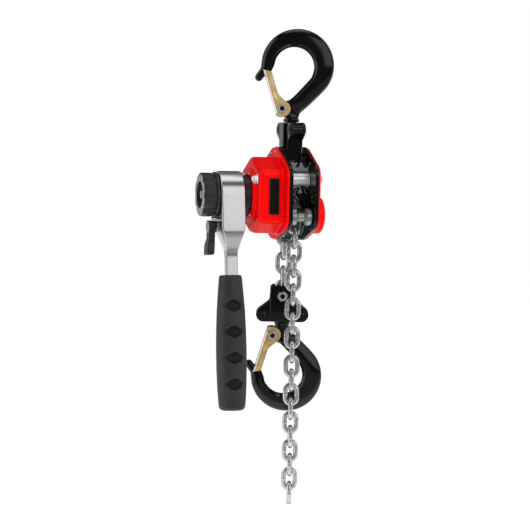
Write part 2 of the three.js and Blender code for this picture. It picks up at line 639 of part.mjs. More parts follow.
// ---------- lever ----------
// Drawn about the drive axis with the arm straight down, then swung.
function leverSide(inset) {
  const head = lever.head - inset;
  const shape = new THREE.Shape();
  shape.moveTo(-head, 0);
  shape.lineTo(-head, -29);
  shape.lineTo(neck.front + inset, -48);
  shape.lineTo(neck.front + inset, lever.gripTop - 4);
  shape.lineTo(neck.back - inset, lever.gripTop - 4);
  shape.lineTo(neck.back - inset, -54);
  shape.quadraticCurveTo(-3.5 - inset, -44, 4 - inset, -36);
  shape.quadraticCurveTo(head * 0.85, -25, head, -8);
  shape.lineTo(head, 0);
  shape.absarc(0, 0, head, 0, 180 * degrees, false);
  return shape;
}

function leverFront(inset) {
  const middle = (lever.from + lever.to) / 2;
  const wide = (lever.to - lever.from) / 2 - inset;
  const narrow = neck.half - inset;
  return polygon([
    [middle - wide, 30], [middle - wide, -29], [middle - narrow, -51], [middle - narrow, -90],
    [middle + narrow, -90], [middle + narrow, -51], [middle + wide, -29], [middle + wide, 30],
  ]);
}

function leverForm(inset) {
  const reach = 40;
  return slabX(leverSide(inset), lever.from + inset, lever.to - inset).intersect(
    slabY(leverFront(inset), -reach, reach),
  );
}

function makeLever(parent) {
  const group = new THREE.Group();
  group.position.set(0, 0, driveZ);
  group.rotation.x = lever.swing * degrees;
  parent.add(group);
  const middle = (lever.from + lever.to) / 2;

  const hubHoles = rodX(9.4, lever.from - 1, lever.to + 1);
  const selectorHole = rodX(3.8, lever.from - 1, middle, 0, -selectorDrop);
  const shell = leverForm(0).subtract(leverForm(lever.wall)).subtract(hubHoles).subtract(selectorHole);
  const split = 4.6; // the joint between the two pressed shells, behind the drive axis
  const frontHalf = shell.intersect(box(-80, -30, -40, split, -90, 40));
  const backHalf = shell.intersect(box(-80, -30, split + gap, 40, -90, 40));
  const tang = box(middle - 4, middle + 4, neck.front + 0.5, neck.back - 0.5, -168, lever.gripTop - 2);
  piece(group, 'lever_arm', frontHalf.add(tang), brushedSteel);
  piece(group, 'lever_back_shell', backHalf, brushedSteel);

  const profile = [
    [0, lever.gripEnd], [7.5, lever.gripEnd], [10.6, lever.gripEnd + 3], [11.4, -168],
    [12.5, -150], [12.6, -122], [12, -100], [10.4, -80],
    [9.4, lever.gripTop - 2], [8.4, lever.gripTop], [0, lever.gripTop],
  ];
  const grip = moved(turnedZ(profile, 28), middle, gripY, 0);
  const wide = neck.half + gap;
  const seat = [neck.front - gap, neck.back + gap];
  const socket = box(middle - wide, middle + wide, ...seat, lever.gripTop - 4.3, 10);
  const bore = box(middle - 4.3, middle + 4.3, seat[0] + 0.5, seat[1] - 0.5, -168.3, -60);
  piece(group, 'grip', grip.subtract(socket).subtract(bore), blackRubber);

  // The change-over pawl and the knob that turns it share one spindle.
  const pawl = new THREE.Shape();
  const horn = (angle, radius) => [radius * Math.sin(angle * degrees), radius * Math.cos(angle * degrees)];
  pawl.moveTo(...horn(-27, 12.1));
  pawl.lineTo(...horn(-20, 12.9));
  pawl.lineTo(...horn(-12, 10));
  pawl.lineTo(...horn(12, 10));
  pawl.lineTo(...horn(20, 12.9));
  pawl.lineTo(...horn(27, 12.1));
  pawl.lineTo(...horn(60, 6));
  pawl.absarc(0, 0, 5, -10 * degrees, -170 * degrees, true);
  pawl.lineTo(...horn(-60, 6));
  const pawlBody = slabX(pawl, -58, -48).add(rodX(3.4, -66, -57));
  piece(group, 'change_pawl', moved(pawlBody, 0, 0, -selectorDrop), darkSteel);

  const paddle = rounded([[-7, 5], [7, 5], [5.6, -9], [7, -23.5], [-7, -23.5], [-5.6, -9]], 3);
  const knob = slabX(paddle, -72, -66.3).add(rodX(5.2, -67, -64.2));
  const bored = knob.subtract(rodX(3.7, -66.3, -60));
  piece(group, 'selector_knob', moved(bored, 0, 0, -selectorDrop), blackPlastic);

  // A sprung plunger points at the pawl's spindle and holds its three positions.
  const aimed = (manifold) => {
    return moved(manifold.rotate([-detentLean, 0, 0]), middle, 0, -selectorDrop);
  };
  const plungerTop = -5 - gap;
  const plunger = turnedZ([
    [0, plungerTop], [2, plungerTop - 1.2], [2.4, plungerTop - 2], [2.4, plungerTop - 6],
    [0, plungerTop - 6],
  ], 16);
  piece(group, 'detent_plunger', aimed(plunger), zincSteel);
  const springLength = 7;
  const detent = moved(coil(1.7, 0.8, springLength, 4, 'z'), 0, 0, plungerTop - 7.6 - springLength);
  piece(group, 'detent_spring', aimed(detent), springSteel);
}

// ---------- chain, as plain round cords ----------
function makeChain(parent) {
  const radius = 3.75;
  const rimZ = sheaveZ - 14.2; // below this the two runs clear the sheave's rim
  const point = (y, z) => new THREE.Vector3(0, y, z);
  const tailBottom = sheaveZ - chain.tailLinks * chain.pitch - chain.wire;
  const tail = new THREE.LineCurve3(point(-runY, tailBottom), point(-runY, rimZ - gap));
  piece(parent, 'chain_tail', tube(tail, radius, 8, 12), zincSteel);

  const pinTop = blockZ + block.pinDrop + 2.2 + gap;
  const load = new THREE.LineCurve3(point(runY, pinTop), point(runY, rimZ - gap));
  piece(parent, 'chain_load', tube(load, radius, 8, 4), zincSteel);

  const bends = [point(runY, rimZ), point(runY, (rimZ + sheaveZ) / 2)];
  for (let i = 0; i <= 12; i += 1) {
    const angle = (i * Math.PI) / 12;
    bends.push(point(runY * Math.cos(angle), sheaveZ + runY * Math.sin(angle)));
  }
  bends.push(point(-runY, (rimZ + sheaveZ) / 2), point(-runY, rimZ));
  piece(parent, 'chain_wrap', tube(new THREE.CatmullRomCurve3(bends), 2.2, 8, 20), zincSteel);
}

const group = new THREE.Group();
makeHookSet(group, 'top', -hook.pivotDrop, true);
makeTopYoke(group);
makePlates(group);
makeCovers(group);
makeStays(group);
makeChainGuides(group);
makeSheave(group);
makeDrive(group);
makeBrakeDiscs(group);
makePawls(group);
makeInnerPlate(group);
makeLever(group);
makeLoadBlock(group);
makeHookSet(group, 'load', blockZ - 11.5, false);
makeChain(group);

export default group;
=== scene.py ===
"""Lever chain hoist hanging from its top hook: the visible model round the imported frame.

Shapes are drawn in millimetres in the frame's axes and scaled to metres when a mesh is made.
+X runs along the drive shaft from the handwheel towards the right cover, -Y is the front.
"""

import math
import random

import bmesh
import bpy
import numpy as np
from mathutils import Matrix, Vector


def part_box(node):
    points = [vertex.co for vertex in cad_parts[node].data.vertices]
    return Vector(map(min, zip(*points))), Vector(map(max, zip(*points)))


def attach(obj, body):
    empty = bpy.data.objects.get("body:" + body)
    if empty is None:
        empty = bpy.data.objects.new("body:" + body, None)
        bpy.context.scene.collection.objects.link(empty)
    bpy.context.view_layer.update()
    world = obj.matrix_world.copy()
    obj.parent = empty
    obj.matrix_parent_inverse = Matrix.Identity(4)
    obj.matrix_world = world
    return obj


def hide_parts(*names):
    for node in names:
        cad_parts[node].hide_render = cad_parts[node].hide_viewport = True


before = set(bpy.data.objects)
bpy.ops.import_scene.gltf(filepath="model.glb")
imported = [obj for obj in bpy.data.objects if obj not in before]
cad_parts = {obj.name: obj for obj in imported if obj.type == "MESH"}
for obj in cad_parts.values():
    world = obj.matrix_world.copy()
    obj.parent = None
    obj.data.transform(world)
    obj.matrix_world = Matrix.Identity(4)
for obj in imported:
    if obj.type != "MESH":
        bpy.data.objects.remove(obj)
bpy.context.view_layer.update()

MM = 0.001


# ---------- places read from the frame, in millimetres ----------
def span(node):
    low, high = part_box(node)
    return low / MM, high / MM


def middle(node):
    low, high = span(node)
    return (low + high) / 2


DRIVE_Z = middle("handwheel").z
SHEAVE_Z = middle("load_sheave").z
RUN_Y = middle("chain_load").y
SUSPENSION_Z = middle("suspension_pin").z
YOKE_Z = span("top_yoke_left")[1].z
BLOCK_Z = span("load_block_front")[0].z
CHAIN_PIN_Z = middle("chain_pin").z - BLOCK_Z
TOP_PIVOT_Z = middle("top_latch_rivet").z
LOAD_PIVOT_Z = middle("load_latch_rivet").z
STAY = middle("stay_sleeve_back")
ROLLER = middle("guide_roller_back")
COVER_LEFT, COVER_RIGHT = span("brake_cover")[0].x, span("brake_cover")[1].x
PLATE_LOW, PLATE_HIGH = span("left_plate")
RIGHT_LOW, RIGHT_HIGH = span("right_cover")
LEVER_LEFT, LEVER_RIGHT = span("lever_arm")[0].x, span("lever_arm")[1].x
LEVER_X = (LEVER_LEFT + LEVER_RIGHT) / 2
WHEEL_LEFT, WHEEL_RIGHT = span("handwheel")[0].x, span("handwheel")[1].x

# ---------- driving dimensions of the visible shapes ----------
HOOK_TURN = math.radians(-15.5)  # both hooks and the lower block face a little to the left
LEVER_SWING = math.radians(-7)
LATCH_PIVOT_X = -7.9

CHAIN_WIRE = 2.0  # radius
CHAIN_PITCH = 12.0
LINK_BEND = 4.85  # radius of a link's ends, along the middle of the wire
TAIL_LINKS = 20
WRAP_RADIUS = CHAIN_PITCH / (2 * math.tan(math.radians(22.5)))

DRUM_HALF_DEPTH = 29.0
DRUM_HALF_HEIGHT = 31.7
DRUM_HALF_TOP = 6.0
DRUM_CORNER = 21.0
PLATE_HALF_DEPTH = PLATE_HIGH.y
PLATE_SHOULDER = -100.0
PLATE_HIP = -148.0
PLATE_FLAT = 7.0  # half the level stretch at the top and the bottom
PLATE_CORNER = 10.0
HUB_RADIUS = 16.3
STAY_HOLE = 3.2  # radius
DRUM_END = COVER_LEFT + 1.8
LABEL_SHIFT = 3.4  # towards the side plate

LEVER_HEAD = 19.7
GRIP_TOP = -67.0
GRIP_END = -178.5
GRIP_Y = -4.5
SELECTOR_DROP = 26.5

CAMERA_TARGET = Vector((-20.4, 0.0, -182.3))
CAMERA_DISTANCE = 1250.0
CAMERA_AZIMUTH = -15.5
CAMERA_ELEVATION = 5.0
CAMERA_FIELD = 20.2
CAMERA_ROLL = 1.1
FLOOR_Z = -425.0

random.seed(7)


# ---------- plane outlines ----------
def arc(centre, radius, start, end, steps):
    """Points of an arc, angles in degrees."""
    angles = [math.radians(start + (end - start) * k / steps) for k in range(steps + 1)]
    return [Vector((centre[0] + radius * math.cos(a), centre[1] + radius * math.sin(a))) for a in angles]


def hexagon(radius, turn, corner, centre=(0, 0)):
    """A hexagon with rounded corners, turned by so many degrees."""
    return filleted(arc(centre, radius, turn, turn + 300, 5), corner, 3)


def quarter(steps):
    """Pairs for a rounded edge: one share grows from 0 to 1 along a quarter circle as the other falls."""
    turns = [math.radians(90) * k / steps for k in range(steps + 1)]
    return [(1 - math.cos(t), 1 - math.sin(t)) for t in turns]


def filleted(points, radius, steps=5, closed=True):
    """The outline with each corner turned into an arc; radius is one value, or one for each corner."""
    corners = [Vector(p) for p in points]
    radii = radius if isinstance(radius, (list, tuple)) else [radius] * len(corners)
    result = []
    for i, corner in enumerate(corners):
        if not closed and i in (0, len(corners) - 1):
            result.append(corner)
            continue
        before = corners[i - 1] - corner
        after = corners[(i + 1) % len(corners)] - corner
        half = before.angle(after) / 2
        if half > math.radians(89.5) or radii[i] <= 0:
            result.extend([corner.copy() for _ in range(steps + 1)])
            continue
        reach = min(radii[i] / math.tan(half), before.length * 0.49, after.length * 0.49)
        bend = reach * math.tan(half)
        towards = (before.normalized() + after.normalized()).normalized()
        centre = corner + towards * (bend / math.sin(half))
        first = (corner + before.normalized() * reach - centre).normalized()
        last = (corner + after.normalized() * reach - centre).normalized()
        result.extend([centre + first.slerp(last, k / steps) * bend for k in range(steps + 1)])
    return result


def area(loop):
    return sum(p.x * q.y - q.x * p.y for p, q in zip(loop, loop[1:] + loop[:1])) / 2


def counterclockwise(loop):
    return loop if area(loop) > 0 else loop[::-1]


def inset(loop, distance):
    """A counterclockwise closed loop moved inwards."""
    result = []
    for i, point in enumerate(loop):
        edges = [point - loop[i - 1], loop[(i + 1) % len(loop)] - point]
        normals = [Vector((-e.y, e.x)).normalized() for e in edges if e.length > 1e-6]
        normal = sum(normals, Vector((0, 0)))
        normal.normalize()
        reach = distance / max(0.6, normal.dot(normals[0])) if normals else 0
        result.append(point + normal * reach)
    return result


def resampled(points, count):
    """The open polyline as that many points, evenly spaced along it."""
    line = np.array([p[:2] for p in points], float)
    steps = np.r_[0, np.cumsum(np.hypot(*np.diff(line, axis=0).T))]
    wanted = np.linspace(0, steps[-1], count)
    return [Vector((np.interp(s, steps, line[:, 0]), np.interp(s, steps, line[:, 1]))) for s in wanted]


def polar(loop, centre, angles):
    """Where rays from the centre, at these angles, cross a closed outline that they cross once."""
    pivot = Vector(centre)
    bearings = [math.atan2((p - pivot).y, (p - pivot).x) for p in loop]
    crossings = []
    for angle in angles:
        ray = Vector((math.cos(angle), math.sin(angle)))
        best = 0.0
        for i, point in enumerate(loop):
            turn = (bearings[i] - bearings[i - 1] + math.pi) % (2 * math.pi) - math.pi
            part = (angle - bearings[i - 1] + math.pi) % (2 * math.pi) - math.pi
            if abs(turn) < 1e-9 or not -1e-9 <= part / turn <= 1 + 1e-9:
                continue
            start, edge = loop[i - 1] - pivot, point - loop[i - 1]
            across = ray.x * edge.y - ray.y * edge.x
            if abs(across) > 1e-9:
                best = max(best, (start.x * edge.y - start.y * edge.x) / across)
        crossings.append(pivot + ray * best)
    return crossings


# ---------- solids, as (points, faces) ----------
def joined(*shapes):
    points, faces = [], []
    for more_points, more_faces in shapes:
        faces.extend([[i + len(points) for i in face] for face in more_faces])
        points.extend(more_points)
    return points, faces


def placed(shape, matrix):
    return [matrix @ Vector(p) for p in shape[0]], shape[1]


def loft(loops, ring=False, caps=True):
    """Closed loops of equal length joined in order, with flat ends unless the last meets the first."""
    count = len(loops[0])
    points = [Vector(p) for loop in loops for p in loop]
    faces = []
    for j in range(len(loops) if ring else len(loops) - 1):
        a, b = j * count, ((j + 1) % len(loops)) * count
        faces.extend([[a + i, a + (i + 1) % count, b + (i + 1) % count, b + i] for i in range(count)])
    if caps and not ring:
        faces.append(list(range(count))[::-1])
        faces.append([(len(loops) - 1) * count + i for i in range(count)])
    return points, faces


AXES = {
    "x": lambda a, b, along: (along, a, b),
    "y": lambda a, b, along: (a, along, b),
    "z": lambda a, b, along: (a, b, along),
}


def slab(outline, low, high, edge=0.0, axis="x", steps=3):
    """An outline between two planes, its rims rounded."""
    loop = counterclockwise(list(outline))
    levels = [(0.0, low), (0.0, high)]
    if edge > 0:
        near = [(edge * left, low + edge * grown) for grown, left in quarter(steps)]
        levels = near + [(depth, low + high - along) for depth, along in near[::-1]]
    place = AXES[axis]
    return loft([[place(p.x, p.y, along) for p in inset(loop, depth)] for depth, along in levels])


def lathe(profile, axis="x", centre=(0, 0, 0), steps=56, ring=False, edge=0.0):
    """(radius, distance along the axis) points turned about the axis; edge softens the corners."""
    line = filleted(profile, edge, 3, closed=ring) if edge > 0 else [Vector(p) for p in profile]
    place = AXES[axis]
    angles = [2 * math.pi * k / steps for k in range(steps)]
    loops = [[Vector(place(p.x * math.cos(a), p.x * math.sin(a), p.y)) for a in angles] for p in line]
    shape = loft(loops, ring=ring, caps=False)
    return placed(shape, Matrix.Translation(centre))


def rod(radius, low, high, axis="x", centre=(0, 0, 0), edge=0.3, steps=32):
    return lathe([(0, low), (radius, low), (radius, high), (0, high)], axis, centre, steps, edge=edge)


def swept(path, radius, sides):
    """A round wire along a closed path; radius is a function of the point's number."""
    count = len(path)
    tangents = [(path[(i + 1) % count] - path[i - 1]).normalized() for i in range(count)]
    normal = tangents[0].orthogonal().normalized()
    loops = []
    for i, point in enumerate(path):
        normal = (normal - tangents[i] * normal.dot(tangents[i])).normalized()
        other = tangents[i].cross(normal)
        angles = [2 * math.pi * k / sides for k in range(sides)]
        loops.append([point + (normal * math.cos(a) + other * math.sin(a)) * radius(i) for a in angles])
    return loft(loops, ring=True)


# ---------- materials ----------
class Nodes:
    """A small builder for a node tree."""

    def __init__(self, tree):
        self.tree = tree

    def add(self, kind, **settings):
        node = self.tree.nodes.new(kind)
        for key, value in settings.items():
            setattr(node, key, value)
        return node

    def link(self, output, entry):
        self.tree.links.new(output, entry)

    def maths(self, operation, *values):
        node = self.add("ShaderNodeMath", operation=operation)
        for value, entry in zip(values, node.inputs):
            if isinstance(value, (int, float)):
                entry.default_value = value
            else:
                self.link(value, entry)
        return node.outputs[0]

    def between(self, value, low, high, start=0.0, end=1.0, **settings):
        """The value's place between low and high, spread from start to end."""
        node = self.add("ShaderNodeMapRange", **settings)
        numbers = {"From Min": low, "From Max": high, "To Min": start, "To Max": end}
        for key, number in numbers.items():
            node.inputs[key].default_value = number
        self.link(value, node.inputs["Value"])
        return node.outputs["Result"]


class Finish(Nodes):
    """The node tree of one new material."""

    def __init__(self, name):
        self.material = bpy.data.materials.new(name)
        self.material.use_nodes = True
        super().__init__(self.material.node_tree)
        self.shader = self.tree.nodes["Principled BSDF"]
        self.place = self.add("ShaderNodeTexCoord").outputs["Object"]

    def noise(self, scale, detail=4.0, stretch=(1, 1, 1)):
        mapping = self.add("ShaderNodeMapping")
        mapping.inputs["Scale"].default_value = stretch
        self.link(self.place, mapping.inputs["Vector"])
        texture = self.add("ShaderNodeTexNoise")
        texture.inputs["Scale"].default_value = scale
        texture.inputs["Detail"].default_value = detail
        texture.inputs["Roughness"].default_value = 0.55
        self.link(mapping.outputs["Vector"], texture.inputs["Vector"])
        return texture.outputs["Fac"]

    def mixed(self, share, first, second):
        node = self.add("ShaderNodeMix", data_type="RGBA")
        self.link(share, node.inputs["Factor"])
        for colour, entry in ((first, node.inputs[6]), (second, node.inputs[7])):
            if isinstance(colour, tuple):
                entry.default_value = (*colour, 1)
            else:
                self.link(colour, entry)
        return node.outputs[2]

    def edges(self, start, end):
        """0 on flat ground, 1 on sharp convex edges."""
        pointiness = self.add("ShaderNodeNewGeometry").outputs["Pointiness"]
        return self.between(pointiness, start, end)


def grey(level):
    return level, level, level


def finish(name, colour, other, metallic, rough, *, blotch=120.0, grain=1500.0, bump=0.1, depth=0.0001,
           stretch=(1, 1, 1), coat=0.0, coat_rough=0.05, edge_wear_and_highlight=None, edge_from=0.53, edge_to=0.6,
           specular=0.5, grazing_shade_and_sheen=None):
    """A finish that varies between two colours and two roughnesses, with fine grain, lighter convex edges (a
    painted highlight on the red and black enamels, wear on the dark steel) and a grazing colour: painted
    shade where it is darker, painted sheen where it is paler.
    """
    nodes = Finish(name)
    shader = nodes.shader
    base = nodes.mixed(nodes.between(nodes.noise(blotch, 5.0), 0.35, 0.65), colour, other)
    # lighter convex edges: a painted highlight on the enamels, wear on the dark steel
    if edge_wear_and_highlight:
        patchy = nodes.between(nodes.noise(grain * 0.25, 3.0), 0.4, 0.6)
        base = nodes.mixed(nodes.maths("MULTIPLY", nodes.edges(edge_from, edge_to), patchy), base, edge_wear_and_highlight)
    # towards grazing angles: painted shade where the grazing colour is darker, painted sheen where it is
    # paler
    if grazing_shade_and_sheen:
        facing = nodes.add("ShaderNodeLayerWeight").outputs["Facing"]
        base = nodes.mixed(nodes.between(facing, 0.35, 0.85), base, grazing_shade_and_sheen)
    nodes.link(base, shader.inputs["Base Color"])
    fine = nodes.noise(grain, 6.0, stretch)
    nodes.link(nodes.between(fine, 0.3, 0.7, *rough), shader.inputs["Roughness"])
    shader.inputs["Metallic"].default_value = metallic
    shader.inputs["Specular IOR Level"].default_value = specular
    shader.inputs["Coat Weight"].default_value = coat
    shader.inputs["Coat Roughness"].default_value = coat_rough
    relief = nodes.add("ShaderNodeBump")
    relief.inputs["Strength"].default_value = bump
    relief.inputs["Distance"].default_value = depth
    nodes.link(fine, relief.inputs["Height"])
    nodes.link(relief.outputs["Normal"], shader.inputs["Normal"])
    return nodes.material


# painted highlight: paler red along convex edges
RED_PAINT = finish("red_enamel", (0.92, 0.0015, 0.0015), (0.86, 0.001, 0.001), 0.0, (0.42, 0.5),
                   blotch=45, grain=420, bump=0.05, depth=0.0002, coat=0.26, coat_rough=0.03, specular=0.03,
                   edge_wear_and_highlight=(0.95, 0.03, 0.02), edge_from=0.54, edge_to=0.62)
# painted highlight: dark grey along the black enamel's convex edges
BLACK_PAINT = finish("black_enamel", grey(0.0008), grey(0.0018), 0.0, (0.42, 0.5), blotch=60,
                     grain=420, bump=0.05, depth=0.0002, coat=1.0, specular=0.05,
                     edge_wear_and_highlight=(0.02, 0.02, 0.021), edge_from=0.56, edge_to=0.66)
BRUSHED_STEEL = finish("brushed_steel", (0.77, 0.77, 0.775), (0.73, 0.73, 0.74), 1.0, (0.20, 0.28), blotch=60,
                       grain=900, bump=0.025, depth=0.00004, stretch=(4, 4, 0.06))
# painted shade: darker grey towards grazing angles
ZINC_STEEL = finish("bright_zinc", (0.90, 0.905, 0.91), (0.74, 0.75, 0.76), 0.70, (0.12, 0.24), blotch=300,
                    grain=1500, bump=0.05, depth=0.00005, grazing_shade_and_sheen=(0.22, 0.22, 0.225))
# painted shade: darker towards grazing angles, as the links' dark outlines
CHAIN_STEEL = finish("galvanized_chain", (0.84, 0.845, 0.85), (0.64, 0.645, 0.65), 0.88, (0.12, 0.22),
                     blotch=350, grain=900, bump=0.05, depth=0.00006, grazing_shade_and_sheen=(0.06, 0.06, 0.062))
DARK_STEEL = finish("dark_steel", (0.20, 0.205, 0.21), (0.11, 0.112, 0.115), 1.0, (0.30, 0.5), blotch=260,
                    grain=1200, bump=0.1, depth=0.0001, edge_wear_and_highlight=(0.55, 0.55, 0.56))
ROLLER_STEEL = finish("turned_steel", (0.50, 0.50, 0.51), (0.34, 0.34, 0.35), 0.8, (0.22, 0.36), blotch=200,
                      grain=1400, bump=0.06, depth=0.00005, stretch=(6, 0.4, 0.4))
# painted shade: darker grey towards grazing angles
SLEEVE_STEEL = finish("drawn_steel", (0.95, 0.95, 0.955), (0.86, 0.86, 0.87), 0.60, (0.22, 0.32), blotch=160,
                      grain=1400, bump=0.05, depth=0.00005, stretch=(6, 0.4, 0.4), grazing_shade_and_sheen=grey(0.12))
# painted sheen: paler gold towards grazing angles
YELLOW_ZINC = finish("yellow_zinc", (0.98, 0.72, 0.38), (0.66, 0.44, 0.16), 0.50, (0.16, 0.24), blotch=75,
                     grain=500, bump=0.03, depth=0.00006, grazing_shade_and_sheen=(0.95, 0.8, 0.62))
# painted highlight: the pale finish along the latch's bend
LATCH_EDGE_HIGHLIGHT = finish("latch_edge_highlight", (1.0, 0.90, 0.82), (0.98, 0.84, 0.74), 0.40, (0.16, 0.24), blotch=75,
                   grain=500, bump=0.03, depth=0.00006)
BLACK_RUBBER = finish("black_rubber", grey(0.020), grey(0.026), 0.0, (0.42, 0.55), blotch=80,
                      grain=1600, bump=0.08, depth=0.0001, specular=0.45)
# painted shade: darker rubber in the grip's finger dents
DENT_SHADE_RUBBER = finish("dent_shade_rubber", grey(0.007), grey(0.010), 0.0, (0.42, 0.55), blotch=80,
                     grain=1600, bump=0.08, depth=0.0001, specular=0.25)
BLACK_PLASTIC = finish("moulded_plastic", grey(0.015), grey(0.021), 0.0, (0.38, 0.5),
                       blotch=110, grain=1300, bump=0.08, depth=0.0001, edge_wear_and_highlight=(0.05, 0.05, 0.052))
SELECTOR_PLASTIC = finish("selector_plastic", grey(0.010), grey(0.016), 0.0, (0.34, 0.46),
                          blotch=120, grain=1300, bump=0.08, depth=0.0001, edge_wear_and_highlight=(0.05, 0.05, 0.052))
# painted highlight: pale grey on the left end faces of the handwheel and the selector boss
END_FACE_HIGHLIGHT = finish("end_face_highlight", grey(0.38), grey(0.22), 0.0, (0.35, 0.5), blotch=240,
                  grain=1400, bump=0.08, depth=0.0001)
LABEL_BLACK = finish("label_black", grey(0.002), grey(0.004), 0.0, (0.4, 0.5), blotch=120,
                     grain=900, bump=0.02, depth=0.00004, specular=0.2)
LABEL_BORDER = finish("label_border", grey(0.10), grey(0.07), 0.3, (0.3, 0.4), blotch=200,
                      grain=900, bump=0.03, depth=0.00004)
BRONZE = finish("bronze", (0.52, 0.32, 0.14), (0.40, 0.24, 0.10), 1.0, (0.3, 0.45), blotch=260,
                grain=1200, bump=0.1, depth=0.0001)
LINING = finish("friction_lining", (0.16, 0.11, 0.07), (0.10, 0.07, 0.05), 0.0, (0.75, 0.9), blotch=700,
                grain=1800, bump=0.3, depth=0.0002)
SPRING_STEEL = finish("spring_steel", (0.36, 0.36, 0.37), (0.26, 0.26, 0.27), 1.0, (0.25, 0.4), blotch=300,
                      grain=1500, bump=0.06, depth=0.00005)


# ---------- meshes ----------
def bare(name, shape):
    mesh = bpy.data.meshes.new(name)
    mesh.from_pydata([Vector(p) * MM for p in shape[0]], [], shape[1])
    work = bmesh.new()
    work.from_mesh(mesh)
    bmesh.ops.remove_doubles(work, verts=work.verts, dist=0.002 * MM)
    bmesh.ops.dissolve_degenerate(work, edges=work.edges, dist=0.001 * MM)
    bmesh.ops.delete(work, geom=[v for v in work.verts if not v.link_faces], context="VERTS")
    bmesh.ops.recalc_face_normals(work, faces=work.faces)
    work.to_mesh(mesh)
    work.free()
    thing = bpy.data.objects.new(name, mesh)
    bpy.context.scene.collection.objects.link(thing)
    return thing


def settled(thing):
    """The object with its modifiers worked into its mesh."""
    graph = bpy.context.evaluated_depsgraph_get()
    mesh = bpy.data.meshes.new_from_object(thing.evaluated_get(graph))
    thing.modifiers.clear()
    thing.data = mesh
    return thing


def cut(thing, holes):
    """The solid with holes taken out of it."""
    tool = bare("holes", joined(*holes))
    modifier = thing.modifiers.new("holes", "BOOLEAN")
    modifier.operation = "DIFFERENCE"
    modifier.solver = "EXACT"
    modifier.use_self = True
    modifier.object = tool
    settled(thing)
    bpy.data.objects.remove(tool)
    return thing


def finished(thing, material, body, replaces=(), sharp=38.0):
    """Shades a mesh, gives it its finish and ties it to its body."""
    thing.data.shade_smooth()
    thing.data.set_sharp_from_angle(angle=math.radians(sharp))
    even = thing.modifiers.new("even_shading", "WEIGHTED_NORMAL")
    even.keep_sharp = True
    if not thing.data.materials:
        thing.data.materials.append(material)
    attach(thing, body)
    if replaces:
        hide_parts(*replaces)
    return thing


def make(name, shape, material, body, replaces=(), sharp=38.0, holes=()):
    thing = bare(name, shape)
    if holes:
        cut(thing, holes)
    return finished(thing, material, body, replaces, sharp)


def recolour(thing, material, matrix, test):
    """Gives a second finish to the faces whose middle, in the matrix's own frame, passes the test."""
    thing.data.materials.append(material)
    local = matrix.inverted()
    for face in thing.data.polygons:
        if test(local @ (face.center / MM)):
            face.material_index = 1


# ---------- camera ----------
def direction(azimuth, elevation):
    """A unit vector; azimuth 0 is the front, and both angles are in radians."""
    level = math.cos(elevation)
    return Vector((math.sin(azimuth) * level, -math.cos(azimuth) * level, math.sin(elevation)))


def make_camera():
    back = direction(math.radians(CAMERA_AZIMUTH), math.radians(CAMERA_ELEVATION))
    data = bpy.data.cameras.new("camera")
    data.sensor_width = 36.0
    data.lens = data.sensor_width / (2 * math.tan(math.radians(CAMERA_FIELD) / 2))
    data.clip_start = 0.05
    data.clip_end = 20.0
    camera = bpy.data.objects.new("camera", data)
    bpy.context.scene.collection.objects.link(camera)
    camera.location = (CAMERA_TARGET + back * CAMERA_DISTANCE) * MM
    turn = (-back).to_track_quat("-Z", "Y").to_matrix() @ Matrix.Rotation(math.radians(CAMERA_ROLL), 3, "Z")
    camera.rotation_euler = turn.to_euler()
    bpy.context.scene.camera = camera


make_camera()


# ---------- chain ----------
def link_shape(matrix):
    """One welded link in its own XZ plane, its long side along Z."""
    straight = CHAIN_PITCH / 2 + CHAIN_WIRE - LINK_BEND
    upper = [Vector((p.x, 0, p.y)) for p in arc((0, straight), LINK_BEND, 0, 180, 14)]
    lower = [Vector((p.x, 0, p.y)) for p in arc((0, -straight), LINK_BEND, 180, 360, 14)]
    sides = [Vector((-LINK_BEND, 0, straight * s)) for s in (0.6, 0.3, 0.12, 0, -0.12, -0.3, -0.6)]
    facing = [Vector((LINK_BEND, 0, -p.z)) for p in sides]
    path = upper + sides + lower + facing
    weld = len(upper) + 3

    def radius(i):
        return CHAIN_WIRE * (1 + 0.10 * math.exp(-(((i - weld) / 1.2) ** 2)))

    return placed(swept(path, radius, 18), matrix)


def hanging(y, z, flat, yaw=0.0, tilt=0.0):
    """A link of a hanging run; flat links have their width along X."""
    turn = Matrix.Rotation(yaw + (0 if flat else math.pi / 2), 4, "Z")
    return Matrix.Translation((0, y, z)) @ turn @ Matrix.Rotation(tilt, 4, "Y")


def make_chain():
    tail = []
    for i in range(TAIL_LINKS):
        z = SHEAVE_Z - CHAIN_PITCH / 2 - CHAIN_PITCH * i
        settle = min(1.0, i / 6)
        yaw = HOOK_TURN * settle + math.radians(random.uniform(-4, 4)) * settle
        tilt = math.radians(random.uniform(-1.5, 1.5)) * settle
        tail.append(link_shape(hanging(-RUN_Y, z, i % 2 == 0, yaw, tilt)))
    run = make("slack_chain", joined(*tail), CHAIN_STEEL, "frame", ["chain_tail"])

    wrap = []
    for k in range(4):
        angle = math.radians(22.5 + 45 * k)
        across = WRAP_RADIUS * math.cos(angle)
        up = WRAP_RADIUS * math.sin(angle)
        spot = Matrix.Translation((0, across, SHEAVE_Z + up))
        turn = Matrix.Rotation(angle, 4, "X")
        side = Matrix.Rotation(math.pi / 2, 4, "Z") if k % 2 else Matrix.Identity(4)
        wrap.append(link_shape(spot @ turn @ side))
    make("sheave_chain", joined(*wrap), CHAIN_STEEL, "frame", ["chain_wrap"])

    load = []
    for i in range(6):
        z = SHEAVE_Z - CHAIN_PITCH / 2 - CHAIN_PITCH * i
        load.append(link_shape(hanging(RUN_Y, z, i % 2 == 1, HOOK_TURN * i / 5)))
    make("load_chain", joined(*load), CHAIN_STEEL, "frame", ["chain_load"])


make_chain()


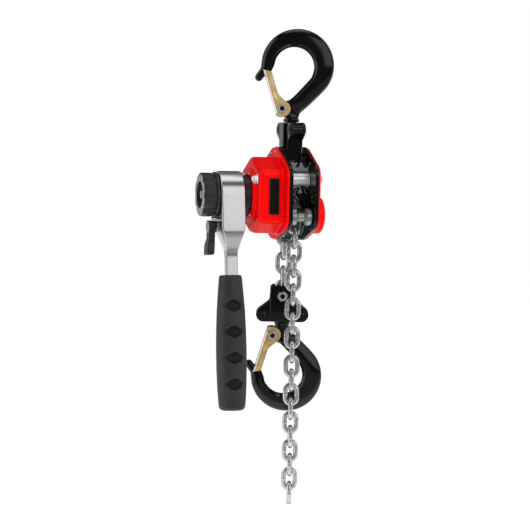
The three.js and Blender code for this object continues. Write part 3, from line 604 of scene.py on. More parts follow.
# ---------- hooks and latches ----------
HOOK_KEYS = [  # inner point, outer point, half thickness, roundness of the section
    ((-24.9, -23.6), (-30.3, -27.6), 3.4, 1.0),
    ((-22.0, -27.0), (-28.0, -31.0), 3.7, 0.9),
    ((-17.6, -30.4), (-26.3, -33.6), 4.4, 0.5),
]
HOOK_NECK = [
    ((2.0, -10.5), (13.5, -1.9), 5.4, 0.0),
    ((-2.6, -7.0), (10.6, 0.6), 5.2, 0.0),
    ((-9.0, -5.0), (8.4, 2.4), 5.0, 0.0),
    ((-12.6, -0.6), (7.0, 4.2), 5.0, 0.0),
    ((-10.6, 4.0), (6.3, 6.0), 5.0, 0.0),
    ((-6.6, 6.0), (6.0, 7.4), 5.0, 0.0),
    ((-5.8, 8.0), (5.8, 9.0), 4.9, 0.0),
]
HOOK_TIP = Vector((-27.6, -25.6))
TIP_RADIUS = 3.4
TIP_NORMAL = Vector((0.8, 0.6))


def smoothed(keys):
    """Catmull-Rom through rows of numbers, with four steps from each to the next."""
    rows = np.array(keys, float)
    ends = np.vstack([rows[:1], rows, rows[-1:]])
    result = []
    for i in range(len(rows) - 1):
        p, q, r, s = ends[i:i + 4]
        for t in (0, 0.25, 0.5, 0.75):
            result.append(0.5 * (2 * q + (r - p) * t + (2 * p - 5 * q + 4 * r - s) * t**2
                                 + (3 * q - p - 3 * r + s) * t**3))
    result.append(rows[-1])
    return result


def hook_section(width, half, roundness):
    """(distance from the inner edge, thickness) points: bevelled inside, domed outside, oval at the tip."""
    bevel = min(0.46 * half, 0.3 * width)
    flat = 0.34 * width
    dome = [(flat + (width - flat) * math.sin(t), half * math.cos(t))
            for t in np.linspace(0, math.pi / 2, 13)[1:]]
    corners = [(0, half - 2 * bevel), (0, half - bevel), (bevel, half), (flat, half)]
    upper = filleted(corners, 0.12 * half, 4, False)
    side = [*upper[1:], *[Vector(p) for p in dome]]
    points = []
    for p in side + [Vector((q.x, -q.y)) for q in side[-2::-1]]:
        angle = math.atan2(p.y / half, (p.x - width / 2) / (width / 2))
        oval = Vector((width / 2 * (1 + math.cos(angle)), half * math.sin(angle)))
        points.append(p.lerp(oval, roundness))
    return points


def hook_shape():
    """Drawn hanging: shank up, bowl down, throat towards -X, the latch pivot level at z = 0."""
    keys = [(*a, *b, half, rounded) for a, b, half, rounded in HOOK_KEYS]
    bowl = zip(arc((1.6, -34.6), 16.6, 186, 398, 14), arc((4.4, -35.8), 30.4, 180, 405, 14))
    for k, (inner, outer) in enumerate(bowl):
        keys.append((*inner, *outer, 5.6 - 0.8 * (1 - k / 14) ** 4, 0.0))
    keys.extend([(*a, *b, half, rounded) for a, b, half, rounded in HOOK_NECK])

    outward = Vector((-TIP_NORMAL.y, TIP_NORMAL.x))
    stations = []
    for degrees in (0, 15, 32, 50, 70):
        size = TIP_RADIUS * max(0.001, math.sin(math.radians(degrees)))
        centre = HOOK_TIP + outward * TIP_RADIUS * math.cos(math.radians(degrees))
        stations.append((*(centre + TIP_NORMAL * size), *(centre - TIP_NORMAL * size), size, 1.0))
    stations.extend(smoothed(keys))

    loops = []
    for ix, iz, ox, oz, half, rounded in stations:
        inner, outer = Vector((ix, iz)), Vector((ox, oz))
        width = (outer - inner).length
        across = (outer - inner) / width
        loops.append([(inner.x + across.x * s.x, s.y, inner.y + across.y * s.x)
                      for s in hook_section(width, half, rounded)])
    collar = lathe([(0, 8.4), (6.3, 8.4), (6.6, 9.2), (6.6, 10.6), (6.2, 11.2), (0, 11.2)], "z", edge=0.3)
    shank = lathe([(0, 8), (4.5, 8), (4.5, 14), (6, 14.4), (6, 17.2), (0, 17.2)], "z", steps=40, edge=0.3)
    return joined(loft(loops), collar, shank)


LATCH_RIGHT = [  # (distance below the pivot, right edge)
    (-7.2, -0.4), (-6.9, 1.8), (-6.0, 4.0), (-4.0, 6.0), (-1.5, 7.0), (1.0, 7.0), (3.6, 5.8), (5.6, 3.4),
    (7.8, 0.8), (10.0, -1.9), (13.2, -4.0), (20.4, -6.2), (30.4, -9.2),
]
LATCH_HALF = 7.2
LATCH_BEND = 2.4
LATCH_SHEET = 1.2
LATCH_HIGHLIGHT_BAND = 1.5  # width of the painted highlight along the bend


def latch_left(h):
    return -4.4 - 0.3125 * (h + 6.6)


def latch_shape():
    """The outer skin of a pressed channel: two ears joined by a web on the throat's outer side."""
    rows = []
    bands = []
    for k in range(45):
        v = k / 44
        low_right, low_left = -7.2 + 37.6 * v, -6.6 + 38.4 * v
        right = Vector((np.interp(low_right, *zip(*LATCH_RIGHT)), low_right))
        left = Vector((latch_left(low_left), low_left))
        web = -3.6 < low_left < 26
        bend = LATCH_BEND if web else 0.05
        side = []
        for c in range(13):
            spot = right.lerp(left + Vector((bend, 0)), c / 12)
            pocket = math.exp(-(((spot.y - 10.5) / 3.6) ** 4) - (((c - 6) / 3.6) ** 4))
            side.append((spot.x, LATCH_HALF - 0.75 * pocket, spot.y))
        side.extend([(left.x + bend - bend * math.sin(t), LATCH_HALF - bend + bend * math.cos(t), left.y)
                     for t in (0.4, 0.8, 1.2, math.pi / 2)])
        mirrored = [(x, -y, h) for x, y, h in side[::-1]]
        rows.append([Vector((x + LATCH_PIVOT_X, y, -h)) for x, y, h in side + mirrored])
        bands.append(web)
    count = len(rows[0])
    points = [p for row in rows for p in row]
    faces = []
    for j in range(len(rows) - 1):
        for i in range(count - 1):
            if 12 <= i < count - 13 and not (bands[j] and bands[j + 1]):
                continue
            a, b = j * count + i, (j + 1) * count + i
            faces.append([a, a + 1, b + 1, b])
    return points, faces


def make_latch(name, matrix, body, node):
    thing = bare(name, placed(latch_shape(), matrix))
    sheet = thing.modifiers.new("sheet", "SOLIDIFY")
    sheet.thickness = LATCH_SHEET * MM
    sheet.offset = -1.0
    sheet.use_even_offset = True
    flip_outwards(thing)
    finished(settled(thing), YELLOW_ZINC, body, [node], 45.0)

    def on_bend(point):
        near = point.x - LATCH_PIVOT_X < latch_left(-point.z) + LATCH_HIGHLIGHT_BAND
        return near and point.z < 3 and abs(point.y) > LATCH_HALF - LATCH_BEND

    # painted highlight: the faces along the bend get the pale finish
    recolour(thing, LATCH_EDGE_HIGHLIGHT, matrix, on_bend)


def flip_outwards(thing):
    """Turns an open skin's faces so that most of them look away from its middle."""
    centre = sum((v.co for v in thing.data.vertices), Vector()) / len(thing.data.vertices)
    outward = sum((f.center - centre).dot(f.normal) * f.area for f in thing.data.polygons)
    if outward < 0:
        thing.data.flip_normals()


def hexagon_end(side, x, z, radius, turn, corner, reach, cup, edge):
    """A hexagon head and the raised ring round its drilled middle, on one end of a pin along Y."""
    head = slab(hexagon(radius, turn, corner, (x, z)), *sorted(side * y for y in reach), edge, "y")
    ring = lathe([(r, side * y) for r, y in cup], "y", (x, 0, z), 36, ring=True, edge=edge - 0.05)
    return joined(head, ring)


def rivet_shape():
    """A latch pivot: a pin with a round washer and a hexagon head at each end, drilled in the middle."""
    parts = [rod(2.0, -8, 8, "y", (LATCH_PIVOT_X, 0, 0))]
    cup = [(1.9, 8.1), (3.2, 8.1), (3.1, 9.4), (2.1, 9.4)]
    for side in (-1, 1):
        washer = sorted((side * 7.35, side * 8.15))
        parts.append(rod(3.4, *washer, "y", (LATCH_PIVOT_X, 0, 0), 0.25, 40))
        parts.append(hexagon_end(side, LATCH_PIVOT_X, 0, 3.9, 17.2, 0.6, (8.1, 8.9), cup, 0.25))
    return joined(*parts)


def hook_matrix(upward):
    z = TOP_PIVOT_Z if upward else LOAD_PIVOT_Z
    matrix = Matrix.Translation((0, 0 if upward else RUN_Y, z)) @ Matrix.Rotation(HOOK_TURN, 4, "Z")
    return matrix @ Matrix.Rotation(math.pi, 4, "X") if upward else matrix


def make_hooks():
    for prefix, upward in (("top", True), ("load", False)):
        matrix = hook_matrix(upward)
        make(f"{prefix}_hook_forging", placed(hook_shape(), matrix), BLACK_PAINT, f"{prefix}_hook",
             [f"{prefix}_hook"], 50.0)
        make_latch(f"{prefix}_latch_plate", matrix, f"{prefix}_latch", f"{prefix}_latch")
        rivet = make(f"{prefix}_latch_pin", placed(rivet_shape(), matrix), ZINC_STEEL, f"{prefix}_hook",
                     [f"{prefix}_latch_rivet"])
        # painted shade: the recessed middle of each pin end is coloured black
        recolour(rivet, BLACK_PAINT, matrix, lambda p: math.hypot(p.x - LATCH_PIVOT_X, p.z) < 1.9)


make_hooks()


# ---------- the yoke and the lower block ----------
WING_X = 16.2  # from the middle to the wings' rivets
WING_RADIUS = 6.2


def yoke_outline(half, top, rounded):
    left = arc((-WING_X, WING_RADIUS), WING_RADIUS, 270, 135, 12)
    right = arc((WING_X, WING_RADIUS), WING_RADIUS, 45, -90, 12)
    if rounded:
        crown = arc((0, top - half), half, 180, 0, 20)
    else:
        crown = filleted([(-half, 20), (-half, top), (half, top), (half, 20)], 2.2, 5, closed=False)[1:-1]
    neck = filleted([left[-1], (-half - 0.2, 18), crown[0]], 5, 5, closed=False)[1:-1]
    other = [Vector((-p.x, p.y)) for p in neck[::-1]]
    return left + neck + crown + other + right


def yoke_half(side, outline, panel, thick):
    """One pressed half: wings, a raised middle panel, a floor and two rivet bosses."""
    def band(low, high):
        return sorted((side * low, side * high))

    shell = 2.2
    wall = slab(outline, *band(thick - 2 * shell, thick - shell), 0.8, "y")
    raised = slab(panel, *band(thick - 2.6, thick), 1.1, "y", 4)
    floor_line = filleted([(-10.4, 0.1), (10.4, 0.1), (10.4, shell), (-10.4, shell)], 0.5, 3)
    floor = slab(floor_line, *band(0.2, thick - 2.4), 0.3, "y")
    rim = [(2.9, thick - 2.4), (4.3, thick - 2.4), (4.1, thick - 1.5), (3.1, thick - 1.5)]
    rim = [(r, side * y) for r, y in rim]
    places = [(x, 0, WING_RADIUS) for x in (-WING_X, WING_X)]
    bosses = [rod(4.6, *band(0.2, thick - 2.6), "y", place, 0.4) for place in places]
    rims = [lathe(rim, "y", place, 32, ring=True, edge=0.25) for place in places]
    return joined(wall, raised, floor, *bosses, *rims)


def dished_rivet(x, half):
    """A closed rivet with a shallow dish in each head."""
    place = (x, 0, WING_RADIUS)
    head = [(0, -0.6), (2.8, -0.6), (2.8, 0.5), (1.9, 0.8), (1.3, 0.3), (0, 0.2)]
    heads = [lathe([(r, side * (half + y)) for r, y in head], "y", place, 32, edge=0.2) for side in (-1, 1)]
    return joined(rod(2.0, -half, half, "y", place), *heads)


def make_load_block():
    matrix = Matrix.Translation((0, RUN_Y, BLOCK_Z)) @ Matrix.Rotation(HOOK_TURN, 4, "Z")
    outline = yoke_outline(10.9, 25, False)
    panel = filleted([(-10.6, 0.2), (10.6, 0.2), (10.6, 31.2), (-10.6, 31.2)], [1.4, 1.4, 3, 3], 5)
    pin_hole = rod(3.2, -20, 20, "y", (0, 0, CHAIN_PIN_Z), 0)
    for side, word in ((-1, "front"), (1, "back")):
        make(f"block_half_{word}", placed(yoke_half(side, outline, panel, 9.6), matrix), BLACK_PAINT,
             "load_block", [f"load_block_{word}"], 40.0, [placed(pin_hole, matrix)])
    for x, word in ((-WING_X, "left"), (WING_X, "right")):
        make(f"block_rivet_{word}", placed(dished_rivet(x, 7.6), matrix), BLACK_PAINT, "load_block",
             [f"load_block_rivet_{word}"])
    cup = [(2.0, 10.4), (3.5, 10.4), (3.4, 11.3), (2.2, 11.3)]
    heads = [hexagon_end(side, 0, CHAIN_PIN_Z, 4.6, 11.5, 0.7, (9.65, 10.6), cup, 0.3) for side in (-1, 1)]
    shape = joined(rod(2.2, -9.8, 9.8, "y", (0, 0, CHAIN_PIN_Z)), *heads)
    pin = make("block_chain_pin", placed(shape, matrix), ZINC_STEEL, "load_block",
               ["chain_pin"])
    # painted shade: the recessed middle of each pin end is coloured black
    recolour(pin, BLACK_PAINT, matrix, lambda p: math.hypot(p.x, p.z - CHAIN_PIN_Z) < 2.0)


def make_top_yoke():
    matrix = (Matrix.Translation((0, 0, YOKE_Z)) @ Matrix.Rotation(math.pi / 2, 4, "Z")
              @ Matrix.Rotation(math.pi, 4, "X"))
    reach = YOKE_Z - SUSPENSION_Z
    outline = yoke_outline(8.5, reach + 8.5, True)
    panel = filleted([(-6.4, 0.3), (6.4, 0.3), (6.4, 22), (-6.4, 22)], [1.4, 1.4, 4, 4], 5)
    hole = rod(4.3, -20, 20, "y", (0, 0, reach), 0)
    strap_line = filleted([(-10.5, 7.5), (-7.5, 7.5), (-7.5, reach + 2), (-10.5, reach + 2)], 0.8, 4)
    strap = slab(strap_line, -6.4, 6.4, 0.6, "y")
    knuckle = rod(2.6, -3.5, 3.5, "y", (-11.2, 0, 9.5), 0.6)
    for side, word in ((1, "left"), (-1, "right")):
        half = yoke_half(side, outline, panel, 8.6)
        if side > 0:
            half = joined(half, strap, knuckle)
        make(f"yoke_half_{word}", placed(half, matrix), BLACK_PAINT, "top_yoke",
             [f"top_yoke_{word}"], 40.0, [placed(hole, matrix)])
    for x, word in ((-WING_X, "front"), (WING_X, "back")):
        make(f"yoke_rivet_{word}", placed(dished_rivet(x, 6.6), matrix), BLACK_PAINT, "top_yoke",
             [f"top_yoke_rivet_{word}"])


make_load_block()
make_top_yoke()


# ---------- side plates and covers ----------
def plate_outline(shrink=0.0):
    side = PLATE_HALF_DEPTH - shrink
    top, bottom = PLATE_HIGH.z - shrink, PLATE_LOW.z + shrink
    shoulder, hip = PLATE_SHOULDER - shrink / 2, PLATE_HIP + shrink / 2
    right = [(PLATE_FLAT, bottom), (side, hip), (side, shoulder), (PLATE_FLAT, top)]
    left = [(-y, z) for y, z in right[::-1]]
    return counterclockwise(filleted([left[-1], *right, *left[:-1]], PLATE_CORNER, 8))


def drum_outline():
    right = [(DRUM_HALF_TOP, -DRUM_HALF_HEIGHT), (DRUM_HALF_DEPTH, -DRUM_CORNER),
             (DRUM_HALF_DEPTH, DRUM_CORNER), (DRUM_HALF_TOP, DRUM_HALF_HEIGHT)]
    left = [(-y, z) for y, z in right[::-1]]
    return counterclockwise(filleted([(y, z + DRIVE_Z) for y, z in right + left], 4.5, 6))


def stay_holes(low, high):
    return [rod(STAY_HOLE, low, high, "x", (0, side * STAY.y, STAY.z), 0) for side in (-1, 1)]


def make_plates():
    for sign, word in ((-1, "left"), (1, "right")):
        low, high = span(f"{word}_plate")
        holes = stay_holes(low.x - 1, high.x + 1)
        holes.append(rod(7.25, low.x - 1, high.x + 1, "x", (0, 0, SHEAVE_Z), 0, 48))
        holes.append(rod(4.2, low.x - 1, high.x + 1, "x", (0, 0, SUSPENSION_Z), 0))
        holes.extend([rod(2.7, low.x - 1, high.x + 1, "x", (0, s * ROLLER.y, ROLLER.z), 0) for s in (-1, 1)])
        if sign < 0:
            holes.append(rod(6.05, low.x - 1, high.x + 1, "x", (0, 0, DRIVE_Z), 0, 40))
        shape = slab(plate_outline(), low.x, high.x, 0.9, "x", 4)
        make(f"side_plate_{word}", shape, BLACK_PAINT, "frame", [f"{word}_plate"], 40.0, holes)


def make_brake_cover():
    rays = [2 * math.pi * (k + 0.5) / 216 for k in range(216)]
    axis = (0, DRIVE_Z)
    flange = polar(plate_outline(0.8), axis, rays)
    drum = polar(drum_outline(), axis, rays)
    face, back, end = COVER_RIGHT - 1.8, COVER_RIGHT, DRUM_END

    def ring(radius):
        return [Vector(axis) + Vector((math.cos(a), math.sin(a))) * radius for a in rays]

    def level(loop, x, depth=0.0):
        return [(x, p.x, p.y) for p in inset(loop, depth)]

    foot, crest = 1.4, 5.0
    loops = [level(flange, back, 0.3), level(flange, back - 0.3), level(flange, face + 0.6)]
    loops += [level(flange, face + 0.18, 0.15), level(flange, face, 0.6)]
    loops += [level(drum, face - foot * grown, -foot * left) for grown, left in quarter(6)]
    loops += [level(drum, end + crest * left, crest * grown) for grown, left in quarter(6)]
    steps = [(23.0, end), (22.5, end - 0.3), (22.2, end - 1.2), (21.8, end - 1.4), (20.9, end - 1.4),
             (20.5, end - 1.7), (20.2, end - 2.4), (19.8, end - 2.6), (17.8, end - 2.6), (17.0, end - 2.2),
             (16.8, end - 1.6), (16.8, end + 1.2)]
    loops += [[(x, p.x, p.y) for p in ring(r)] for r, x in steps]
    loops += [level(drum, end + 1.2, 5.6), level(drum, end + 2.8, 3.2), level(drum, end + 6, 2.0)]
    loops += [level(drum, face - 1.0, 2.0), level(drum, back, 0.0)]
    make("brake_casing", loft(loops, ring=True), RED_PAINT, "frame", ["brake_cover"], 50.0)


def make_right_cover():
    rays = [2 * math.pi * (k + 0.5) / 192 for k in range(192)]
    axis = (0, SHEAVE_Z)
    flange = polar(plate_outline(0.8), axis, rays)
    back, front, top = RIGHT_LOW.x, RIGHT_LOW.x + 1.4, RIGHT_HIGH.x

    def ring(radius, x):
        return [(x, axis[0] + radius * math.cos(a), axis[1] + radius * math.sin(a)) for a in rays]

    def level(x, depth=0.0):
        return [(x, p.x, p.y) for p in inset(flange, depth)]

    loops = [ring(0.01, top - 1.4), ring(12.0, top - 1.6), ring(14.0, top - 3.4), ring(14.4, back + 1.6)]
    loops += [ring(15.2, back), level(back, 0.3), level(back + 0.25), level(front - 0.4), level(front, 0.4)]
    bulge, foot, crest = 15.9, 2.2, 3.6
    loops += [ring(bulge + foot * left, front + foot * grown) for grown, left in quarter(5)]
    loops += [ring(bulge - crest * grown, top - 0.3 - crest * left) for grown, left in quarter(6)]
    loops += [ring(7, top), ring(0.01, top + 0.1)]
    make("gear_side_cover", loft(loops), RED_PAINT, "frame", ["right_cover"], 50.0,
         stay_holes(back - 1, front + 1))


def make_guide():
    """An open bridge over the sheave that keeps the chain in its pockets: two rails and two end bars."""
    low, high = span("chain_guide")
    outer, inner = high.z - SHEAVE_Z, high.z - SHEAVE_Z - 1.5

    def strip(start, end):
        return arc((0, SHEAVE_Z), outer, start, end, 40) + arc((0, SHEAVE_Z), inner, end, start, 40)

    start = math.degrees(math.asin((low.z - SHEAVE_Z) / inner))
    far = 180 - start
    rail, bar = 2.2, 9  # the rails' width in millimetres and the bars' in degrees
    sides = ((low.x, low.x + rail), (high.x - rail, high.x))
    rails = [slab(strip(start, far), *side, 0.3) for side in sides]
    bars = [slab(strip(*ends), low.x, high.x, 0.3) for ends in ((start, start + bar), (far - bar, far))]
    make("guide_bridge", joined(*rails, *bars), BLACK_PAINT, "frame", ["chain_guide"])


def make_label():
    """A blank name plate with a thin raised border."""
    low, high = span("name_label")
    left, right = low.x + LABEL_SHIFT, high.x + LABEL_SHIFT - 0.4
    y = -DRUM_HALF_DEPTH - 0.12
    outer = filleted([(left, low.z), (right, low.z), (right, high.z), (left, high.z)], 0.8, 4)
    make("name_plate", slab(outer, y - 0.5, y, 0.18, "y"), LABEL_BLACK, "frame",
         ["name_label"])
    loop = counterclockwise(outer)
    frame_line = [(0.4, y - 0.45), (0.4, y - 0.6), (0.62, y - 0.6), (0.62, y - 0.45)]
    rim = loft([[(p.x, along, p.y) for p in inset(loop, depth)] for depth, along in frame_line], ring=True)
    make("name_plate_border", rim, LABEL_BORDER, "frame")


def make_cover_rivets():
    """Small steel rivets that hold the two red covers' flanges and the drum's end plate."""
    face = COVER_RIGHT - 1.8
    heads = [(face, -2.5, -87.6), (face, 9.0, -88.6), (face, -12.5, -155.0), (face, 12.5, -155.0)]
    for degrees in (70, 110, 236, 304):
        turn = math.radians(degrees)
        heads.append((DRUM_END - 2.5, 18.9 * math.cos(turn), DRIVE_Z + 18.9 * math.sin(turn)))
    dome = [(0, 0.6), (1.2, 0.6), (1.2, -0.2), (0.85, -0.65), (0.4, -0.8), (0, -0.85)]
    parts = [lathe([(r, x + along) for r, along in dome], "x", (0, y, z), 24, edge=0.15) for x, y, z in heads]
    make("cover_rivets", joined(*parts), ZINC_STEEL, "frame")


make_plates()
make_brake_cover()
make_right_cover()
make_guide()
make_label()
make_cover_rivets()


# ---------- stays, rollers and the sleeve ----------
def nut_shape(x, out, y, z):
    """A flanged hexagon nut with a domed cap, facing out = -1 or 1 along X."""
    foot = [(0, 0), (4.7, 0), (4.7, 0.5), (3.9, 1.1), (0, 1.1)]
    dome = [(0, 2.9), (3.0, 2.9), (2.8, 3.8), (1.9, 4.6), (0.8, 4.9), (0, 4.95)]
    flange = lathe([(r, x + out * along) for r, along in foot], "x", (0, y, z), 40, edge=0.15)
    body = slab(hexagon(3.95, 14.3, 0.35, (y, z)), *sorted((x + out * 0.9, x + out * 3.1)), 0.35)
    cap = lathe([(r, x + out * along) for r, along in dome], "x", (0, y, z), 36, edge=0.4)
    return joined(flange, body, cap)


def make_stays():
    low, high = span("stay_sleeve_back")
    outer = (high.y - low.y) / 2
    tube = [(STAY_HOLE, low.x), (outer, low.x), (outer, high.x), (STAY_HOLE, high.x)]
    left, right = DRUM_END - 0.1, RIGHT_LOW.x + 3.9
    for side, word in ((-1, "front"), (1, "back")):
        y = side * STAY.y
        place = (0, y, STAY.z)
        washer = rod(4.9, RIGHT_LOW.x + 1.3, right, "x", place, 0.5, 40)
        nuts = [nut_shape(left, -1, y, STAY.z), nut_shape(right, 1, y, STAY.z)]
        bolt = joined(rod(3.0, left - 1, right + 1, "x", place, 0), *nuts, washer)
        make(f"stay_{word}", bolt, ZINC_STEEL, "frame", [f"stay_bolt_{word}"])
        make(f"sleeve_{word}", lathe(tube, "x", place, 64, ring=True, edge=0.4), SLEEVE_STEEL, "frame",
             [f"stay_sleeve_{word}"])


def make_rollers():
    """Flanged guide rollers that keep the chain over the middle of the sheave."""
    low, high = span("guide_roller_back")
    radius = (high.y - low.y) / 2
    right = [(3.5, 2.4), (radius - 1.0, 3.9), (radius, 4.6), (radius, 8.0), (radius - 0.8, 8.8), (2.5, 8.8),
             (2.5, high.x), (0, high.x)]
    profile = [(r, -x) for r, x in right[::-1]] + right
    for side, word in ((-1, "front"), (1, "back")):
        make(f"chain_roller_{word}", lathe(profile, "x", (0, side * ROLLER.y, ROLLER.z), 56, edge=0.45),
             ROLLER_STEEL, f"roller_{word}", [f"guide_roller_{word}"])


make_stays()
make_rollers()


# ---------- brake hub and handwheel ----------
def toothed(teeth, tip, root, start):
    corners = []
    step = 2 * math.pi / teeth
    for i in range(teeth):
        mid = start + (i + 0.5) * step
        for share, radius in ((0.25, root), (0.15, tip), (-0.15, tip), (-0.25, root)):
            angle = mid - share * step
            corners.append((radius * math.cos(angle), radius * math.sin(angle)))
    return filleted(corners, 0.4, 2)


def make_brake_hub():
    bore, neck = 5.4, 9.2
    disc = [(bore, -33.4), (14.6, -33.4), (HUB_RADIUS, -34.4), (HUB_RADIUS, -41.6), (15.4, -43), (neck, -43),
            (neck, -47.2), (bore, -47.2)]
    body = lathe(disc, "x", (0, 0, DRIVE_Z), 72, ring=True, edge=0.6)
    wheel_line = [p + Vector((0, DRIVE_Z)) for p in toothed(12, 13.5, 10.5, -math.pi / 2)]
    wheel = slab(wheel_line, -58, -47, 0.3)
    make("brake_driver", joined(body, wheel), SELECTOR_PLASTIC, "drive", ["brake_hub"], 40.0,
         [rod(bore, -60, -46, "x", (0, 0, DRIVE_Z), 0)])


def lobed(radius, dent):
    """A round outline with shallow finger flats between its lobes."""
    lobes, steps = 8, 160
    points = []
    for k in range(steps):
        angle = 2 * math.pi * k / steps
        reach = radius - dent * max(0.0, math.cos(lobes * angle)) ** 1.6
        points.append(Vector((reach * math.cos(angle), reach * math.sin(angle))))
    return points


def make_handwheel():
    left, right = WHEEL_LEFT, WHEEL_RIGHT
    full, recess, floor = 18.4, 10.9, -70.5
    ring_left, ring_right = -66.2, -64.2
    levels = [  # (x, radius, dent)
        (ring_right, 9.0, 0), (ring_right, full - 0.2, 0), (ring_right - 0.4, full + 0.5, 0),
        (ring_left + 0.5, full + 0.5, 0), (ring_left, full, 0), (ring_left - 0.25, full - 1.1, 0.2),
        (ring_left - 1.0, full - 0.9, 0.5), (ring_left - 1.9, full - 0.1, 1.2), (ring_left - 3.2, full, 1.8),
        (left + 2.6, full, 1.9), (left + 1.3, full - 0.35, 1.9), (left + 0.5, full - 1.0, 1.8),
        (left + 0.1, full - 1.9, 1.6), (left, full - 3.0, 1.2), (left, recess + 1.2, 0),
        (left + 0.25, recess + 0.4, 0), (left + 0.9, recess, 0),
        (floor - 0.6, recess - 0.3, 0), (floor, recess - 1.1, 0), (floor, 3.8, 0),
    ]
    loops = [[(x, p.x, p.y + DRIVE_Z) for p in lobed(radius, dent)] for x, radius, dent in levels]
    loops += [[(right, p.x, p.y + DRIVE_Z) for p in lobed(radius, 0)] for radius in (3.8, 8.8)]
    loops.append([(ring_right - 0.2, p.x, p.y + DRIVE_Z) for p in lobed(8.8, 0)])
    wheel = make("brake_handwheel", loft(loops, ring=True), BLACK_PLASTIC, "drive",
                 ["handwheel"], 42.0)
    axis = Matrix.Translation((0, 0, DRIVE_Z))
    # painted highlight: the wheel's left end face, outside the recess, is pale grey
    recolour(wheel, END_FACE_HIGHLIGHT, axis, lambda p: p.x < left + 0.7 and math.hypot(p.y, p.z) > recess + 0.2)


make_brake_hub()
make_handwheel()


# ---------- lever, grip and selector ----------
LEVER = Matrix.Translation((0, 0, DRIVE_Z)) @ Matrix.Rotation(LEVER_SWING, 4, "X")


def lever_skin():
    """The outer skin about the drive axis: a round head, a flat front, then a thin neck."""
    rim = 1.1
    top_arc = arc((0, 0), LEVER_HEAD, 90, 180, 16)
    bends = [(-LEVER_HEAD, 0), (-LEVER_HEAD, -33.5), (-11.2, -48.0), (-11.2, GRIP_TOP - 4)]
    below = filleted(bends, [0, 9, 16, 0], 8, False)
    front = top_arc + resampled(below, 52)[1:]
    back_bends = [(LEVER_HEAD, 0), (LEVER_HEAD, -9), (15.5, -25), (4.2, -35.5), (-2.6, -45), (-4.8, -54),
                  (-4.8, GRIP_TOP - 4)]
    rear_line = filleted(back_bends, 10, 8, False)[::-1]
    heights, depths = [p.y for p in rear_line], [p.x for p in rear_line]
    rear = arc((0, 0), LEVER_HEAD, 90, 0, 16)
    rear += [Vector((np.interp(p.y, heights, depths), p.y)) for p in front[len(top_arc):]]
    loop = front + rear[1:][::-1]
    widths = filleted([(9.95, 25), (9.95, -28), (5.1, -47), (5.1, -90)], 10, 8, False)[::-1]

    def half(z):
        return float(np.interp(z, [p.y for p in widths], [p.x for p in widths]))

    loop_in = counterclockwise(loop)
    turned = loop_in is not loop
    loops = []
    for side, turns in ((-1, quarter(5)[::-1]), (1, quarter(5))):
        for grown, left in turns:
            ring = inset(loop_in, rim * grown)
            ring = ring[::-1] if turned else ring
            loops.append([(LEVER_X + side * (half(p.y) - rim * left), p.x, p.y) for p in ring])
    points, faces = loft(loops, caps=False)
    count = len(loop)
    for base in (0, (len(loops) - 1) * count):
        for i in range(len(front) - 1):
            corner = [base + i, base + i + 1, base + count - i - 1, base + (count - i) % count]
            faces.append(list(dict.fromkeys(corner)))
    return points, faces


def half_skin(name, keep_front, seam):
    """One of the two pressed halves, cut from the skin at the seam and given its thickness."""
    thing = bare(name, lever_skin())
    work = bmesh.new()
    work.from_mesh(thing.data)
    everything = work.verts[:] + work.edges[:] + work.faces[:]
    bmesh.ops.bisect_plane(work, geom=everything, plane_co=(0, seam * MM, 0), plane_no=(0, 1, 0),
                           clear_outer=keep_front, clear_inner=not keep_front)
    work.to_mesh(thing.data)
    work.free()
    sheet = thing.modifiers.new("sheet", "SOLIDIFY")
    sheet.thickness = 1.5 * MM
    sheet.offset = -1.0
    sheet.use_even_offset = True
    settled(thing)
    return thing


def tang_and_stop():
    """The bar inside the grip, and the small stop pin beside the selector."""
    left, right, front, back = LEVER_X - 4, LEVER_X + 4, -10.4, -5.6
    line = filleted([(left, front), (right, front), (right, back), (left, back)], 0.6, 3)
    pin = [(0, 1), (1.9, 1), (1.9, -5.6), (1.5, -6.1), (0, -6.1)]
    stop = lathe([(r, LEVER_LEFT + x) for r, x in pin], "x", (0, -6.5, -20.7), 28, edge=0.3)
    return joined(slab(line, -168, GRIP_TOP - 2.2, 0.4, "z"), stop)


def make_lever():
    holes = [rod(9.4, LEVER_LEFT - 2, LEVER_RIGHT + 2, "x", (0, 0, 0), 0, 56),
             rod(3.8, LEVER_LEFT - 2, LEVER_X, "x", (0, 0, -SELECTOR_DROP), 0, 32)]
    halves = (("front", True, 4.6, "lever_arm"), ("rear", False, 4.9, "lever_back_shell"))
    for word, keep_front, seam, node in halves:
        thing = half_skin(f"lever_{word}_shell", keep_front, seam)
        cut(thing, holes)
        if keep_front:
            join_into(thing, bare("lever_extra", tang_and_stop()))
        thing.data.transform(Matrix.Scale(MM, 4) @ LEVER @ Matrix.Scale(1 / MM, 4))
        finished(thing, BRUSHED_STEEL, "lever", [node], 32.0)


def join_into(thing, extra):
    """Adds another object's faces to a mesh."""
    work = bmesh.new()
    work.from_mesh(thing.data)
    work.from_mesh(extra.data)
    work.to_mesh(thing.data)
    work.free()
    bpy.data.objects.remove(extra)


GRIP_PROFILE = [  # (height, radius)
    (GRIP_TOP, 8.3), (GRIP_TOP - 0.7, 9.2), (GRIP_TOP - 2.2, 9.6), (-80, 10.5), (-96, 11.7), (-112, 12.4),
    (-128, 12.7), (-145, 12.6), (-158, 12.2), (-168, 11.6), (-174, 11.2), (-176.6, 10.6), (-178.0, 9.2),
    (GRIP_END, 7.4),
]
GRIP_DENTS = (-92.0, -113.5, -135.0, -156.5)
DENT_HALF_WIDTH = 9.8
DENT_HALF_HEIGHT = 5.4
DENT_DEPTH = 3.4


